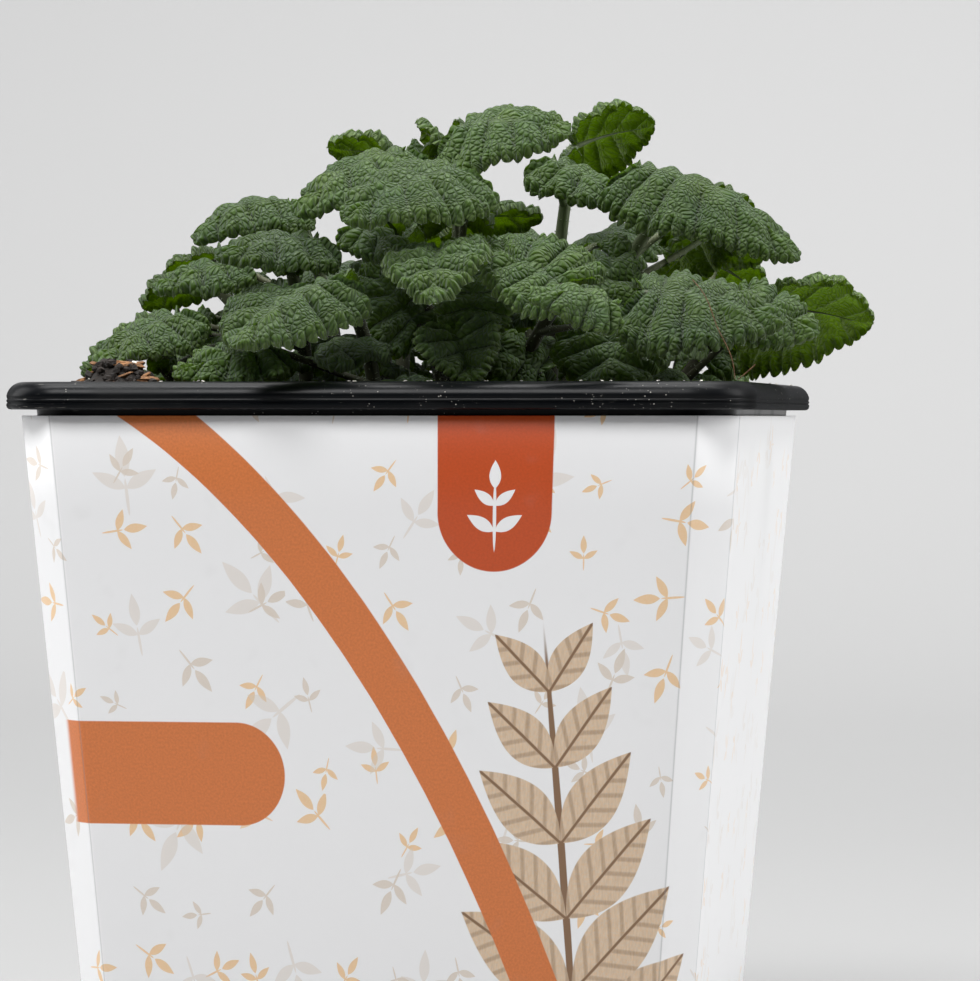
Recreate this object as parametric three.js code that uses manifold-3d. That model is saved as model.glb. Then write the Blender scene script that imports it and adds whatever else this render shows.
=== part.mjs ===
// Catnip plant in its square nursery pot, with a folded board sleeve round the pot.
// Millimetres, +Z up. Origin: the centre of the pot's flat base. The front looks along -Y.
// Every leafy stem is one solid: a square stem with its leaf stalks and blades joined on.
import * as THREE from 'three';
import { mergeVertices } from 'three/addons/utils/BufferGeometryUtils.js';
import Module from 'manifold-3d';

const wasm = await Module();
wasm.setup();

// ---- Driving dimensions -------------------------------------------------------------
const POT_HEIGHT = 120;
const RIM_HALF = 60;            // half width over the rim's lip
const RIM_HEIGHT = 4.4;         // from the rim's top down to the lip's lower edge
const RIM_ROLL = 2.7;           // how far the lip rolls in towards the flat top
const RIM_FLAT = 1.6;           // width of the flat on top of the rim
const RIM_CORNER = 10;
const NECK_HEIGHT = 0.95;       // gap between the lip and the sleeve
const WALL_HALF = 56.3;         // half width of the wall just below the neck
const WALL_CORNER = 12;
const WALL_THICKNESS = 1.2;
const FLOOR_THICKNESS = 1.6;
const TAPER = 0.0015;           // share of the width lost for each millimetre down
const DRAIN_RADIUS = 4;
const DRAIN_RING = 26;          // ring of the drain holes round the middle of the floor

const SLEEVE_HALF = 57.5;       // half width at the sleeve's top edge
const SLEEVE_BOARD = 0.6;
const SLEEVE_BEVEL = 6.05;      // leg of the 45 degree corner panels at the top
const SLEEVE_FOOT = 4;          // height of the sleeve's lower edge

const SOIL_LEVEL = 114.5;
const SOIL_LUMP = 1.5;
const SOIL_CELLS = 7;
const FIT_GAP = 0.35;           // kept between pieces that touch

const STEM_WIDTH = 2.3;
const STEM_SUNK = 6;            // how deep a stem stands in the soil
const HOLE_GAP = 0.8;           // round a stem in its hole in the soil
const STALK_RADIUS = 0.85;
const STALK_SUNK = 1;           // how far a stalk runs on under its blade
const BLADE_THICKNESS = 0.7;
const TOOTH_DEPTH = 0.12;       // of the half width
const RIPPLE = 0.55;            // height of the waves along a blade's edge
const CLEAR_CELL = 1.1;         // side of one cell of the room that blades keep free

// ---- Small helpers ------------------------------------------------------------------
const DEG = Math.PI / 180;
const vec = (x, y, z) => new THREE.Vector3(x, y, z);
const along = (start, direction, distance) => start.clone().addScaledVector(direction, distance);

// Numbers between 0 and 1 in a fixed order, so that every build is the same.
function seededNumbers(seed) {
  let state = seed >>> 0;
  return () => {
    state = (state + 0x6d2b79f5) >>> 0;
    let mixed = Math.imul(state ^ (state >>> 15), state | 1);
    mixed ^= mixed + Math.imul(mixed ^ (mixed >>> 7), mixed | 61);
    return ((mixed ^ (mixed >>> 14)) >>> 0) / 4294967296;
  };
}

// ---- Solids -------------------------------------------------------------------------
function solidOf(vertices, triangles) {
  const vertProperties = new Float32Array(vertices.flatMap((point) => [point.x, point.y, point.z]));
  const triVerts = new Uint32Array(triangles.flat());
  return new wasm.Manifold(new wasm.Mesh({ numProp: 3, vertProperties, triVerts }));
}

function solidOfGeometry(geometry) {
  geometry.deleteAttribute('normal');
  geometry.deleteAttribute('uv');
  const merged = mergeVertices(geometry, 1e-5);
  const vertProperties = new Float32Array(merged.attributes.position.array);
  const triVerts = new Uint32Array(merged.index.array);
  return new wasm.Manifold(new wasm.Mesh({ numProp: 3, vertProperties, triVerts }));
}

function geometryOfSolid(solid) {
  const mesh = solid.getMesh();
  const geometry = new THREE.BufferGeometry();
  geometry.setAttribute('position', new THREE.BufferAttribute(mesh.vertProperties.slice(), 3));
  geometry.setIndex(new THREE.BufferAttribute(mesh.triVerts.slice(), 1));
  geometry.computeVertexNormals();
  return geometry;
}

// A closed skin over rings of points that run anticlockwise as seen from above. The first
// ring is closed by a lid that looks down, the last by one that looks up. On a wall that
// folds back on itself there are no lids, and the last ring joins the first.
function loft(rings, foldsBack = false) {
  const count = rings[0].length;
  const triangles = [];
  const corner = (ring, point) => (ring % rings.length) * count + (point % count);
  const bands = foldsBack ? rings.length : rings.length - 1;
  for (let ring = 0; ring < bands; ring += 1) {
    for (let point = 0; point < count; point += 1) {
      const across = corner(ring + 1, point + 1);
      triangles.push([corner(ring, point), corner(ring, point + 1), across]);
      triangles.push([corner(ring, point), across, corner(ring + 1, point)]);
    }
  }
  if (!foldsBack) {
    for (let point = 1; point < count - 1; point += 1) {
      triangles.push([0, point + 1, point]);
      triangles.push([corner(bands, 0), corner(bands, point), corner(bands, point + 1)]);
    }
  }
  return solidOf(rings.flat(), triangles);
}

function roundedSquare(half, radius, z, steps = 3) {
  const points = [];
  const inner = half - radius;
  for (const [turn, sideX, sideY] of [[0, 1, 1], [90, -1, 1], [180, -1, -1], [270, 1, -1]]) {
    for (let step = 0; step <= steps; step += 1) {
      const angle = (turn + (90 * step) / steps) * DEG;
      const x = sideX * inner + radius * Math.cos(angle);
      const y = sideY * inner + radius * Math.sin(angle);
      points.push(vec(x, y, z));
    }
  }
  return points;
}

function bevelledSquare(half, leg, z) {
  const near = half - leg;
  const corners = [
    [half, -near], [half, near], [near, half], [-near, half],
    [-half, near], [-half, -near], [-near, -half], [near, -half],
  ];
  return corners.map(([x, y]) => vec(x, y, z));
}

// ---- Pot, sleeve and soil -----------------------------------------------------------
const neckLevel = POT_HEIGHT - RIM_HEIGHT;
const sleeveTop = neckLevel - NECK_HEIGHT;
const taperAt = (z) => 1 - TAPER * (sleeveTop - z);
const wallHalf = (z) => WALL_HALF * taperAt(z);
const wallRing = (inset, z) => roundedSquare(wallHalf(z) - inset, WALL_CORNER - inset, z);
const lipRing = (inset, z) => roundedSquare(RIM_HALF - inset, RIM_CORNER - inset, z);

function drainHole(x, y) {
  const hole = new THREE.CylinderGeometry(DRAIN_RADIUS, DRAIN_RADIUS, 4 * FLOOR_THICKNESS, 10);
  hole.rotateX(90 * DEG);
  hole.translate(x, y, 0);
  return solidOfGeometry(hole);
}

function makePot() {
  const roll = [0, 30, 60, 90].map((angle) => lipRing(
    RIM_ROLL * (1 - Math.cos(angle * DEG)),
    POT_HEIGHT - RIM_ROLL * (1 - Math.sin(angle * DEG)),
  ));
  let pot = loft([
    wallRing(2.2, 0),
    wallRing(0.3, 1.6),
    wallRing(0, 4),
    wallRing(0, neckLevel),
    lipRing(1.1, neckLevel),
    ...roll,
    lipRing(RIM_ROLL + RIM_FLAT, POT_HEIGHT),
    wallRing(WALL_THICKNESS, neckLevel - 1),
    wallRing(WALL_THICKNESS, FLOOR_THICKNESS),
  ]);
  for (let quarter = 0; quarter < 4; quarter += 1) {
    const angle = (45 + 90 * quarter) * DEG;
    pot = pot.subtract(drainHole(DRAIN_RING * Math.cos(angle), DRAIN_RING * Math.sin(angle)));
  }
  return pot;
}

function makeSleeve() {
  const board = (half, z) => bevelledSquare(half * taperAt(z), SLEEVE_BEVEL * taperAt(z), z);
  const inner = SLEEVE_HALF - SLEEVE_BOARD;
  return loft([
    board(inner, SLEEVE_FOOT),
    board(SLEEVE_HALF, SLEEVE_FOOT),
    board(SLEEVE_HALF, sleeveTop),
    board(inner, sleeveTop),
  ], true);
}

const soilHeight = (x, y) => SOIL_LEVEL
  + SOIL_LUMP * Math.sin(0.11 * x + 0.6) * Math.cos(0.13 * y - 0.4)
  + 0.5 * SOIL_LUMP * Math.sin(0.31 * x - 0.17 * y);

// The soil fills the pot from its floor up and follows the tapered wall.
function makeSoil(stemRoots) {
  const top = (z) => wallHalf(z) - WALL_THICKNESS - FIT_GAP;
  const block = new THREE.BoxGeometry(2, 2, 1, SOIL_CELLS, SOIL_CELLS, 1);
  const spots = block.attributes.position;
  const floor = FLOOR_THICKNESS + FIT_GAP;
  for (let index = 0; index < spots.count; index += 1) {
    const upper = spots.getZ(index) > 0;
    const [x, y] = intoRoundedSquare(spots.getX(index), spots.getY(index));
    const half = top(upper ? SOIL_LEVEL : floor);
    const z = upper ? soilHeight(x * half, y * half) : floor;
    spots.setXYZ(index, x * half, y * half, z);
  }
  let soil = solidOfGeometry(block);
  for (const root of stemRoots) {
    const radius = STEM_WIDTH / Math.SQRT2 + HOLE_GAP;
    const hole = new THREE.CylinderGeometry(radius, radius, 2 * STEM_SUNK, 6);
    hole.rotateX(90 * DEG);
    hole.translate(root.x, root.y, soilHeight(root.x, root.y));
    soil = soil.subtract(solidOfGeometry(hole));
  }
  return soil;
}

// Squeezes a point of the square from -1 to 1 into the same square with round corners.
function intoRoundedSquare(x, y) {
  const corner = (WALL_CORNER + 2) / WALL_HALF;
  const straight = 1 - corner;
  const overX = Math.max(Math.abs(x) - straight, 0);
  const overY = Math.max(Math.abs(y) - straight, 0);
  const reach = Math.hypot(overX, overY);
  if (reach === 0) {
    return [x, y];
  }
  const squeeze = Math.max(overX, overY) / reach;
  return [
    Math.sign(x) * (Math.abs(x) - overX + overX * squeeze),
    Math.sign(y) * (Math.abs(y) - overY + overY * squeeze),
  ];
}

// ---- Blades -------------------------------------------------------------------------
// A leaf is given by where its blade meets the stalk (from), its tip (to), the way its
// upper side looks (face), its width as a share of its length, how far its halves drop
// from the midrib (fold, degrees) and how far it arches from base to tip (arch, degrees).
const CURL = 0.35;              // extra drop of the margin, radians

function bladeFrame(leaf) {
  const run = leaf.to.clone().sub(leaf.from);
  const chord = run.length();
  const forward = run.divideScalar(chord);
  const up = along(leaf.face, forward, -leaf.face.dot(forward)).normalize();
  return { chord, forward, up, left: up.clone().cross(forward) };
}

// The flat outline: two lobes that reach back past the stalk, widest a little ahead of
// it, and a blunt tip.
function outlinePoint(width, v) {
  const angle = Math.PI * (1 - v);
  const cleft = 0.28 * Math.exp(-(((Math.PI - angle) / 0.33) ** 2));
  return {
    x: 0.36 + 0.64 * Math.cos(angle) + cleft,
    y: 0.475 * width * Math.sin(angle) * (1 - 0.36 * Math.cos(angle)),
  };
}

// A point of the blade's middle surface. v runs from base to tip along the edge, share
// from the midrib (0) to the edge (1), side is 1 or -1. lift moves off the surface.
function bladePoint(leaf, frame, side, share, v, lift) {
  const outline = outlinePoint(leaf.width, v);
  const rib = v ** 1.8;
  const notch = 1 - Math.abs(Math.sin(Math.PI * leaf.teeth * v)) ** 0.7;
  const reach = share * (1 - TOOTH_DEPTH * notch * share * share);
  const flatX = rib + reach * (outline.x - rib);
  const flatY = reach * outline.y * frame.chord;
  const arch = leaf.arch * DEG;
  const turn = arch * (0.5 - flatX);
  const radius = frame.chord / (2 * Math.sin(arch / 2));
  const ahead = radius * (Math.sin(arch / 2) - Math.sin(turn));
  const rise = radius * (Math.cos(turn) - Math.cos(arch / 2));
  const fold = leaf.fold * DEG;
  const bend = CURL / (0.5 * leaf.width * frame.chord);
  const slope = fold + bend * flatY;
  const aside = (Math.sin(slope) - Math.sin(fold)) / bend;
  const wave = RIPPLE * reach * reach * Math.sin(Math.PI * v)
    * Math.sin(2 * Math.PI * 2.5 * v + leaf.phase + side);
  const drop = (Math.cos(fold) - Math.cos(slope)) / bend - wave;
  const tilt = share === 0 ? 0 : slope;
  const raised = lift * Math.cos(tilt) - drop;
  const point = along(leaf.from, frame.forward, ahead - Math.sin(turn) * raised);
  point.addScaledVector(frame.up, rise + Math.cos(turn) * raised);
  return point.addScaledVector(frame.left, side * (aside + lift * Math.sin(tilt)));
}

// The blade's two faces are split alike, and a wall along the scalloped edge joins them.
// A large leaf has one more row of corners between its midrib and its edge.
function makeBlade(leaf) {
  const frame = bladeFrame(leaf);
  const stations = 2 * leaf.teeth;
  const vertices = [];
  const names = new Map();
  const corner = (face, side, share, station) => {
    const ends = station === 0 || station === stations;
    const place = ends ? `${face} ${station}` : `${face} ${share === 0 ? 0 : side} ${share} ${station}`;
    if (!names.has(place)) {
      names.set(place, vertices.length);
      const lift = (face * BLADE_THICKNESS) / 2;
      vertices.push(bladePoint(leaf, frame, side, ends ? 0 : share, station / stations, lift));
    }
    return names.get(place);
  };
  const triangles = [];
  const addTriangle = (corners, flip) => {
    if (new Set(corners).size === 3) {
      triangles.push(flip ? [...corners].reverse() : corners);
    }
  };
  for (const side of [1, -1]) {
    for (const face of [1, -1]) {
      const flip = side * face < 0;
      const spot = (share, station) => corner(face, side, share, station);
      const inner = leaf.large ? 0.5 : 0;
      for (let start = 0; start < stations; start += 2) {
        const [middle, end] = [start + 1, start + 2];
        if (leaf.large) {
          addTriangle([spot(0, start), spot(0, end), spot(inner, end)], flip);
          addTriangle([spot(0, start), spot(inner, end), spot(inner, start)], flip);
        }
        addTriangle([spot(inner, start), spot(inner, end), spot(1, middle)], flip);
        addTriangle([spot(inner, start), spot(1, middle), spot(1, start)], flip);
        addTriangle([spot(inner, end), spot(1, end), spot(1, middle)], flip);
      }
    }
    for (let station = 0; station < stations; station += 1) {
      const rim = (face, step) => corner(face, side, 1, station + step);
      addTriangle([rim(1, 0), rim(1, 1), rim(-1, 1)], side < 0);
      addTriangle([rim(1, 0), rim(-1, 1), rim(-1, 0)], side < 0);
    }
  }
  return solidOf(vertices, triangles);
}

// ---- Stems and stalks ---------------------------------------------------------------
function makeRod(curve, steps, sides, radius) {
  const section = new THREE.Shape();
  for (let corner = 0; corner < sides; corner += 1) {
    const angle = (2 * Math.PI * corner) / sides;
    const point = [radius * Math.cos(angle), radius * Math.sin(angle)];
    if (corner === 0) {
      section.moveTo(...point);
    } else {
      section.lineTo(...point);
    }
  }
  const rod = new THREE.ExtrudeGeometry(section, { extrudePath: curve, steps, bevelEnabled: false });
  return solidOfGeometry(rod);
}

// A stem rises straight out of the soil and then leans over to its top.
function stemCurve(stem) {
  const ground = soilHeight(stem.root.x, stem.root.y);
  const low = vec(stem.root.x, stem.root.y, ground - STEM_SUNK + FIT_GAP);
  const neck = vec(stem.root.x, stem.root.y, ground + 3);
  const bow = vec(stem.root.x, stem.root.y, ground + 0.5 * (stem.top.z - ground));
  return new THREE.CubicBezierCurve3(low, neck, bow, stem.top);
}

// A stalk leaves the stem below its blade, bows upwards and runs on under the midrib.
function stalkCurve(stem, leaf) {
  const frame = bladeFrame(leaf);
  const start = stem.curve.getPoint(leaf.at);
  const end = along(leaf.from, frame.forward, STALK_SUNK);
  const span = start.distanceTo(end);
  const elbow = along(leaf.from, frame.forward, -0.45 * span);
  elbow.z += 0.12 * span;
  return new THREE.QuadraticBezierCurve3(start, elbow, end);
}

// ---- The plant ----------------------------------------------------------------------
// Heights in this list are above the rim. at is how far up its stem a leaf's stalk grows.
// facing is the side that a stem's freely grown leaves look to, within spread, both in
// degrees, and extra is how many of those leaves it may have.
const above = ([x, y, z]) => vec(x, y, z + POT_HEIGHT);
const leaf = (at, from, to, face, width, fold, arch, teeth = 4) => ({
  at, from: above(from), to: above(to), face: vec(...face).normalize(), width, fold, arch, teeth,
  large: true,
});
const smallLeaf = (...values) => ({ ...leaf(...values), large: false });

const plantPlan = [
  { root: [6, -12], top: [9, -21, 39], extra: 0, facing: 60, spread: 90, leaves: [
    leaf(0.95, [9, -25, 42], [28, -31, 40], [1, -6, 8], 1.15, 14, 45, 5),
    leaf(0.9, [0, -24, 38], [-17, -34, 27], [-2, -5, 8], 1, 16, 60, 5),
    leaf(0.72, [11.5, -34.5, 34], [-4.5, -50, 25], [-3, -8, 5], 0.95, 10, 45, 5),
    smallLeaf(0.6, [6, -11.5, 27.5], [20, -5, 28], [0, 5, 8], 0.9, 10, 30),
  ] },
  { root: [-6, 6], top: [-2, 6, 38], extra: 3, facing: 110, spread: 110, leaves: [
    smallLeaf(0.85, [-6, 7, 38.5], [-20, 13, 41], [0, 7, 7], 1, 10, 30),
    smallLeaf(0.97, [2, 5, 40], [-4, 12, 45], [-2, 7, 6], 0.9, 10, 20, 4),
  ] },
  { root: [-14, -6], top: [-21, -6, 27], extra: 2, facing: 60, spread: 60, leaves: [
    leaf(0.95, [-22, -11.5, 30.5], [-36, -21.5, 23], [-1, -3, 10], 1, 22, 80),
    smallLeaf(0.9, [-24.5, 2, 27], [-33, 10, 27.5], [2, 5, 6], 0.9, 10, 30, 4),
  ] },
  { root: [-24, -8], top: [-36, -8, 17], extra: 2, facing: 120, spread: 60, leaves: [
    leaf(0.97, [-36, -1.5, 22], [-50, 0.5, 13], [-6, 5, 6], 1, 8, 30),
    leaf(0.7, [-46, -11, 10.5], [-57, -14.5, 1.5], [-7, 3, 6], 0.95, 10, 30),
    leaf(0.8, [-38, -16, 15], [-49, -20, 8], [-5, -3, 6], 0.95, 10, 30),
  ] },
  { root: [-17, -21], top: [-18, -30, 19], extra: 0, facing: 90, spread: 60, leaves: [
    leaf(0.97, [-13.5, -30.5, 23.5], [-28, -42, 20], [-2, -6, 8], 0.9, 14, 35),
    leaf(0.85, [-28.5, -23, 20], [-41, -30, 15], [-3, -5, 8], 1, 14, 40),
    leaf(0.7, [-16.5, -39, 17], [-23, -53, 7], [-2, -9, 4], 1.05, 10, 30),
    leaf(0.6, [-33, -31, 13], [-45, -41, 4], [-4, -6, 6], 1, 12, 30),
  ] },
  { root: [-4, -29], top: [-6, -44, 14], extra: 0, facing: 90, spread: 60, leaves: [
    leaf(0.95, [-6.5, -51, 16.5], [-20, -64, 5.5], [-4, -6, 7], 0.95, 30, 25, 5),
    leaf(0.45, [-18, -46, 6], [-34, -49, 1], [-3, -7, 6], 0.85, 12, 30),
    leaf(0.6, [-23, -39, 12], [-38, -42, 6], [-3, -6, 7], 0.85, 20, 30),
  ] },
  { root: [6, -24], top: [3, -35, 21], extra: 0, facing: 90, spread: 60, leaves: [
    leaf(0.2, [11.5, -46, 8], [15.5, -51, -0.5], [0, -7, 7], 1.4, -26, 20),
    leaf(0.35, [13.5, -41, 10], [13.5, -36, 24], [0, -10, 2], 0.95, 6, 20, 5),
    leaf(0.3, [3.5, -37, 9], [-6, -35, 20], [1, -9, 3], 1.1, -4, 14, 5),
    leaf(0.95, [-6, -42, 25], [5, -47, 19], [3, -7, 6], 0.75, 22, 40),
    leaf(0.9, [9.5, -43, 24], [11, -57, 15], [0, -9, 4], 1.1, -8, 40, 5),
  ] },
  { root: [18, -27], top: [29, -43, 14], extra: 0, facing: 90, spread: 60, leaves: [
    leaf(0.95, [29.5, -51, 18], [15, -43, 25], [1, -6, 7], 1.1, -8, 20, 5),
    smallLeaf(0.8, [38.5, -52, 12], [25, -56, 13], [2, -6, 8], 0.9, 26, 60),
    smallLeaf(0.25, [24, -33, 1.5], [14, -38, 7.5], [0, -8, 5], 1, 6, 20),
  ] },
  { root: [31, -24], top: [41, -37, 11], extra: 0, facing: 90, spread: 60, leaves: [
    leaf(0.5, [32, -42, 10], [34, -50, -3.5], [0, -8, 6], 1.35, 8, 30, 5),
    leaf(0.95, [41, -44, 14.5], [64, -44, 9.5], [1, -6, 8], 1.05, 14, 35, 5),
    smallLeaf(0.8, [56, -29.5, 13], [68, -28, 8], [3, -8, 5], 1.15, 8, 20),
  ] },
  { root: [27, -8], top: [40, -9, 28], extra: 2, facing: 60, spread: 60, leaves: [
    leaf(0.95, [37, -12, 36], [64, -17, 20], [2, -4, 9], 0.8, 26, 50, 6),
    leaf(0.85, [43.5, 6, 30], [55, 14, 21], [-1, 8, 5], 1.15, 8, 20),
    smallLeaf(0.75, [48, -1, 27], [38, -4.5, 17], [-2, 5, 7], 1.1, 10, 20),
    smallLeaf(0.3, [32, -19, 13.5], [33.5, -12, 25], [-1, -9, 2], 1, 10, 20),
  ] },
  { root: [20, 3], top: [23, 6, 36], extra: 2, facing: 90, spread: 100, leaves: [
    leaf(0.97, [22, 15, 41], [35, 26, 45], [0, 8, 5], 1.1, 10, 30, 5),
    leaf(0.9, [22, -1, 38], [36, -10, 29.5], [2, -4, 8], 0.85, 24, 30),
  ] },
  { root: [40, 4], top: [49, 4, 8], extra: 2, facing: 60, spread: 60, leaves: [
    leaf(0.6, [56, -3, 9.5], [74, 8, 7], [3, 8, 5], 1.3, 10, 40, 5),
    smallLeaf(0.8, [46, 16, 23], [54, 24.5, 17], [2, 8, 4], 1, 8, 20),
  ] },
  { root: [-9, 26], top: [-15, 33, 24], extra: 5, facing: 90, spread: 180, leaves: [] },
  { root: [18, 28], top: [23, 35, 22], extra: 5, facing: 80, spread: 180, leaves: [] },
  { root: [-30, 18], top: [-37, 24, 16], extra: 6, facing: 150, spread: 180, leaves: [] },
  { root: [38, 30], top: [43, 36, 14], extra: 6, facing: 40, spread: 180, leaves: [] },
  { root: [3, 42], top: [5, 47, 15], extra: 6, facing: 90, spread: 180, leaves: [] },
  { root: [-6, -8], top: [-7, -10, 16], extra: 6, facing: 200, spread: 180, leaves: [] },
  { root: [16, 14], top: [14, 16, 15], extra: 5, facing: 30, spread: 180, leaves: [] },
  { root: [-36, -30], top: [-39, -32, 3], extra: 3, facing: 60, spread: 180, leaves: [] },
];

// ---- Room for the blades --------------------------------------------------------------
// Space is kept in cells. Each cell holds the number of the stem whose wood is in or next
// to it, or a blade's number, which is that number plus BLADE_MARK, or MIXED for both.
const BLADE_MARK = 100;
const MIXED = -1;
const room = new Map();
const cellAt = (value) => Math.floor(value / CLEAR_CELL) + 250;
const cellKey = (x, y, z) => (x * 500 + y) * 500 + z;

function cellMark(point) {
  return room.get(cellKey(cellAt(point.x), cellAt(point.y), cellAt(point.z)));
}

function claim(points, mark) {
  for (const point of points) {
    const [x, y, z] = [cellAt(point.x), cellAt(point.y), cellAt(point.z)];
    for (let dx = -1; dx <= 1; dx += 1) {
      for (let dy = -1; dy <= 1; dy += 1) {
        for (let dz = -1; dz <= 1; dz += 1) {
          const key = cellKey(x + dx, y + dy, z + dz);
          const held = room.get(key);
          room.set(key, held === undefined || held === mark ? mark : MIXED);
        }
      }
    }
  }
}

// Blades stay above the soil, and inside the rim's opening or well above the rim.
const RIM_GAP = 1.2;
function clearOfPot(point) {
  const reach = Math.max(Math.abs(point.x), Math.abs(point.y));
  const opening = wallHalf(neckLevel) - WALL_THICKNESS - RIM_GAP;
  if (reach < opening) {
    return point.z > soilHeight(point.x, point.y) + RIM_GAP;
  }
  return point.z > POT_HEIGHT + RIM_GAP || reach > RIM_HALF + RIM_GAP;
}

function bladeSamples(item) {
  const frame = bladeFrame(item);
  const points = [];
  const rows = Math.ceil(frame.chord / 0.8);
  for (let row = 0; row <= rows; row += 1) {
    for (let column = -10; column <= 10; column += 1) {
      const side = column < 0 ? -1 : 1;
      points.push(bladePoint(item, frame, side, Math.abs(column) / 10, row / rows, 0));
    }
  }
  return points;
}

function curveSamples(curve, first, last, steps) {
  const points = [];
  for (let step = 0; step <= steps; step += 1) {
    points.push(curve.getPoint(first + ((last - first) * step) / steps));
  }
  return points;
}

// Moves to try for a blade that is in the way of another, the smallest first.
function makeShifts() {
  const shifts = [];
  for (const y of [0, 2, -2, 4, -4, 6, -6]) {
    for (const z of [0, 1.5, -1.5, 3, -3, 4.5]) {
      for (const x of [0, 1.5, -1.5, 3, -3]) {
        shifts.push({ move: vec(x, y, z), cost: 0.5 * Math.abs(y) + Math.abs(z) + Math.abs(x) });
      }
    }
  }
  return shifts.sort((one, other) => one.cost - other.cost);
}
const shifts = makeShifts();

// Places a leaf in the first free spot within a reach and claims its room there. Returns
// null if there is no such spot. under tells whether a point lies low enough.
function placeLeaf(stem, planned, reach, under) {
  const samples = bladeSamples(planned);
  for (const { move, cost } of shifts) {
    if (cost > reach) {
      break;
    }
    const blade = samples.map((point) => point.clone().add(move));
    const bladeFree = blade.every((point) => {
      const mark = cellMark(point);
      return clearOfPot(point) && under(point) && (mark === undefined || mark === stem.number);
    });
    if (bladeFree) {
      const from = planned.from.clone().add(move);
      const item = { ...planned, from, to: planned.to.clone().add(move) };
      item.stalk = stalkCurve(stem, item);
      const stalk = curveSamples(item.stalk, 0.2, 0.9, 12);
      const stalkFree = stalk.every((point) => {
        const mark = cellMark(point);
        return clearOfPot(point) && (mark === undefined || mark % BLADE_MARK === stem.number);
      });
      if (stalkFree) {
        claim(blade, stem.number + BLADE_MARK);
        claim(stalk, stem.number);
        return item;
      }
    }
  }
  return null;
}

// The bush is a dome over its crown that leans over to the left towards its back, and the
// leaves placed by rule stay under it.
const DOME = { x: 8, height: 42, across: 63, deep: 92, skew: 0.15, power: 2.6 };
const anywhere = () => true;
function underDome(point) {
  const across = Math.abs(point.x + DOME.skew * point.y - DOME.x) / DOME.across;
  const deep = Math.abs(point.y) / DOME.deep;
  const out = (across ** DOME.power + deep ** DOME.power) ** (1 / DOME.power);
  return point.z < POT_HEIGHT + 1 + DOME.height * (1 - out * out);
}

// The other leaves of a stem are drawn at random on its own free side, the largest first,
// and those that find room under the dome are kept.
const DRAWS = 200;
const random = seededNumbers(7);
function growFreely(stem) {
  const grown = [];
  for (let draw = 0; draw < DRAWS; draw += 1) {
    const at = 0.2 + 0.75 * random();
    const heading = stem.facing + stem.spread * (2 * random() - 1);
    const pitch = 25 - 50 * random();
    const length = 24 - (11 * draw) / DRAWS;
    const stalk = 5 + 10 * random();
    const phase = 6 * random();
    if (grown.length < stem.extra) {
      const planned = { ...freeLeaf(stem, at, heading * DEG, pitch * DEG, length, stalk), phase };
      const item = placeLeaf(stem, planned, 0, underDome);
      if (item !== null) {
        grown.push(item);
      }
    }
  }
  return grown;
}

function freeLeaf(stem, at, heading, pitch, length, stalk) {
  const out = vec(Math.cos(heading), Math.sin(heading), 0);
  const from = along(stem.curve.getPoint(at), out, stalk).add(vec(0, 0, 0.4 * stalk));
  const to = along(from, out, length * Math.cos(pitch));
  to.z += length * Math.sin(pitch);
  const face = along(vec(0, 0, 1), out, 0.3).normalize();
  return { at, from, to, face, width: 1, fold: 12, arch: 50, teeth: 4 };
}

// Two young leaves stand up at the top of each stem.
function topLeaves(stem) {
  return [0, 180].map((side) => {
    const heading = (stem.facing + 20 + side) * DEG;
    const out = vec(Math.cos(heading), Math.sin(heading), 0);
    const from = along(stem.top, out, 0.4);
    from.z -= 0.6;
    const to = along(from, out, 3.4).add(vec(0, 0, 4.6));
    const face = along(vec(0, 0, 0.6), out, -1).normalize();
    return { from, to, face, width: 0.8, fold: 8, arch: 30, teeth: 2, phase: 0 };
  });
}

function growPlant() {
  const stems = plantPlan.map((plan, index) => {
    const stem = { ...plan, number: index + 1, root: vec(...plan.root, 0), top: above(plan.top) };
    stem.curve = stemCurve(stem);
    claim(curveSamples(stem.curve, 0.1, 1, 40), stem.number);
    return stem;
  });
  for (const stem of stems) {
    stem.tips = topLeaves(stem);
    for (const tip of stem.tips) {
      claim(bladeSamples(tip), stem.number);
    }
  }
  for (const stem of stems) {
    stem.grown = stem.leaves.map((planned, index) => (
      placeLeaf(stem, { ...planned, phase: index }, Infinity, anywhere)));
  }
  for (const stem of stems) {
    stem.grown.push(...growFreely(stem));
    stem.grown = stem.grown.filter((item) => item !== null);
  }
  return stems;
}

function makeStem(stem) {
  let solid = makeRod(stem.curve, 5, 4, STEM_WIDTH / Math.SQRT2);
  for (const tip of stem.tips) {
    solid = solid.add(makeBlade(tip));
  }
  for (const item of stem.grown) {
    solid = solid.add(makeRod(item.stalk, 3, 3, STALK_RADIUS));
    solid = solid.add(makeBlade(item));
  }
  return solid;
}

// ---- Materials and scene --------------------------------------------------------------
const finish = (color, roughness) => new THREE.MeshStandardMaterial({ color, roughness, metalness: 0 });
const group = new THREE.Group();

function addMesh(name, solid, material) {
  const mesh = new THREE.Mesh(geometryOfSolid(solid), material);
  mesh.name = name;
  group.add(mesh);
}

const stems = growPlant();
addMesh('pot', makePot(), finish(0x15171b, 0.4));
addMesh('sleeve', makeSleeve(), finish(0xe9e9ea, 0.5));
addMesh('soil', makeSoil(stems.map((stem) => stem.root)), finish(0x2a2019, 0.95));
for (const stem of stems) {
  const number = String(stem.number).padStart(2, '0');
  addMesh(`stem_${number}`, makeStem(stem), finish(0x4f6f4c, 0.8));
}

export default group;
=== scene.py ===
"""Catnip plant in its square nursery pot, with a folded board sleeve round the pot.

Shapes are worked out in millimetres in the part's own frame and put into meshes in metres:
X to the right, Y to the back, Z up, and the origin at the centre of the pot's base.
"""

import math
from dataclasses import dataclass, replace

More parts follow.
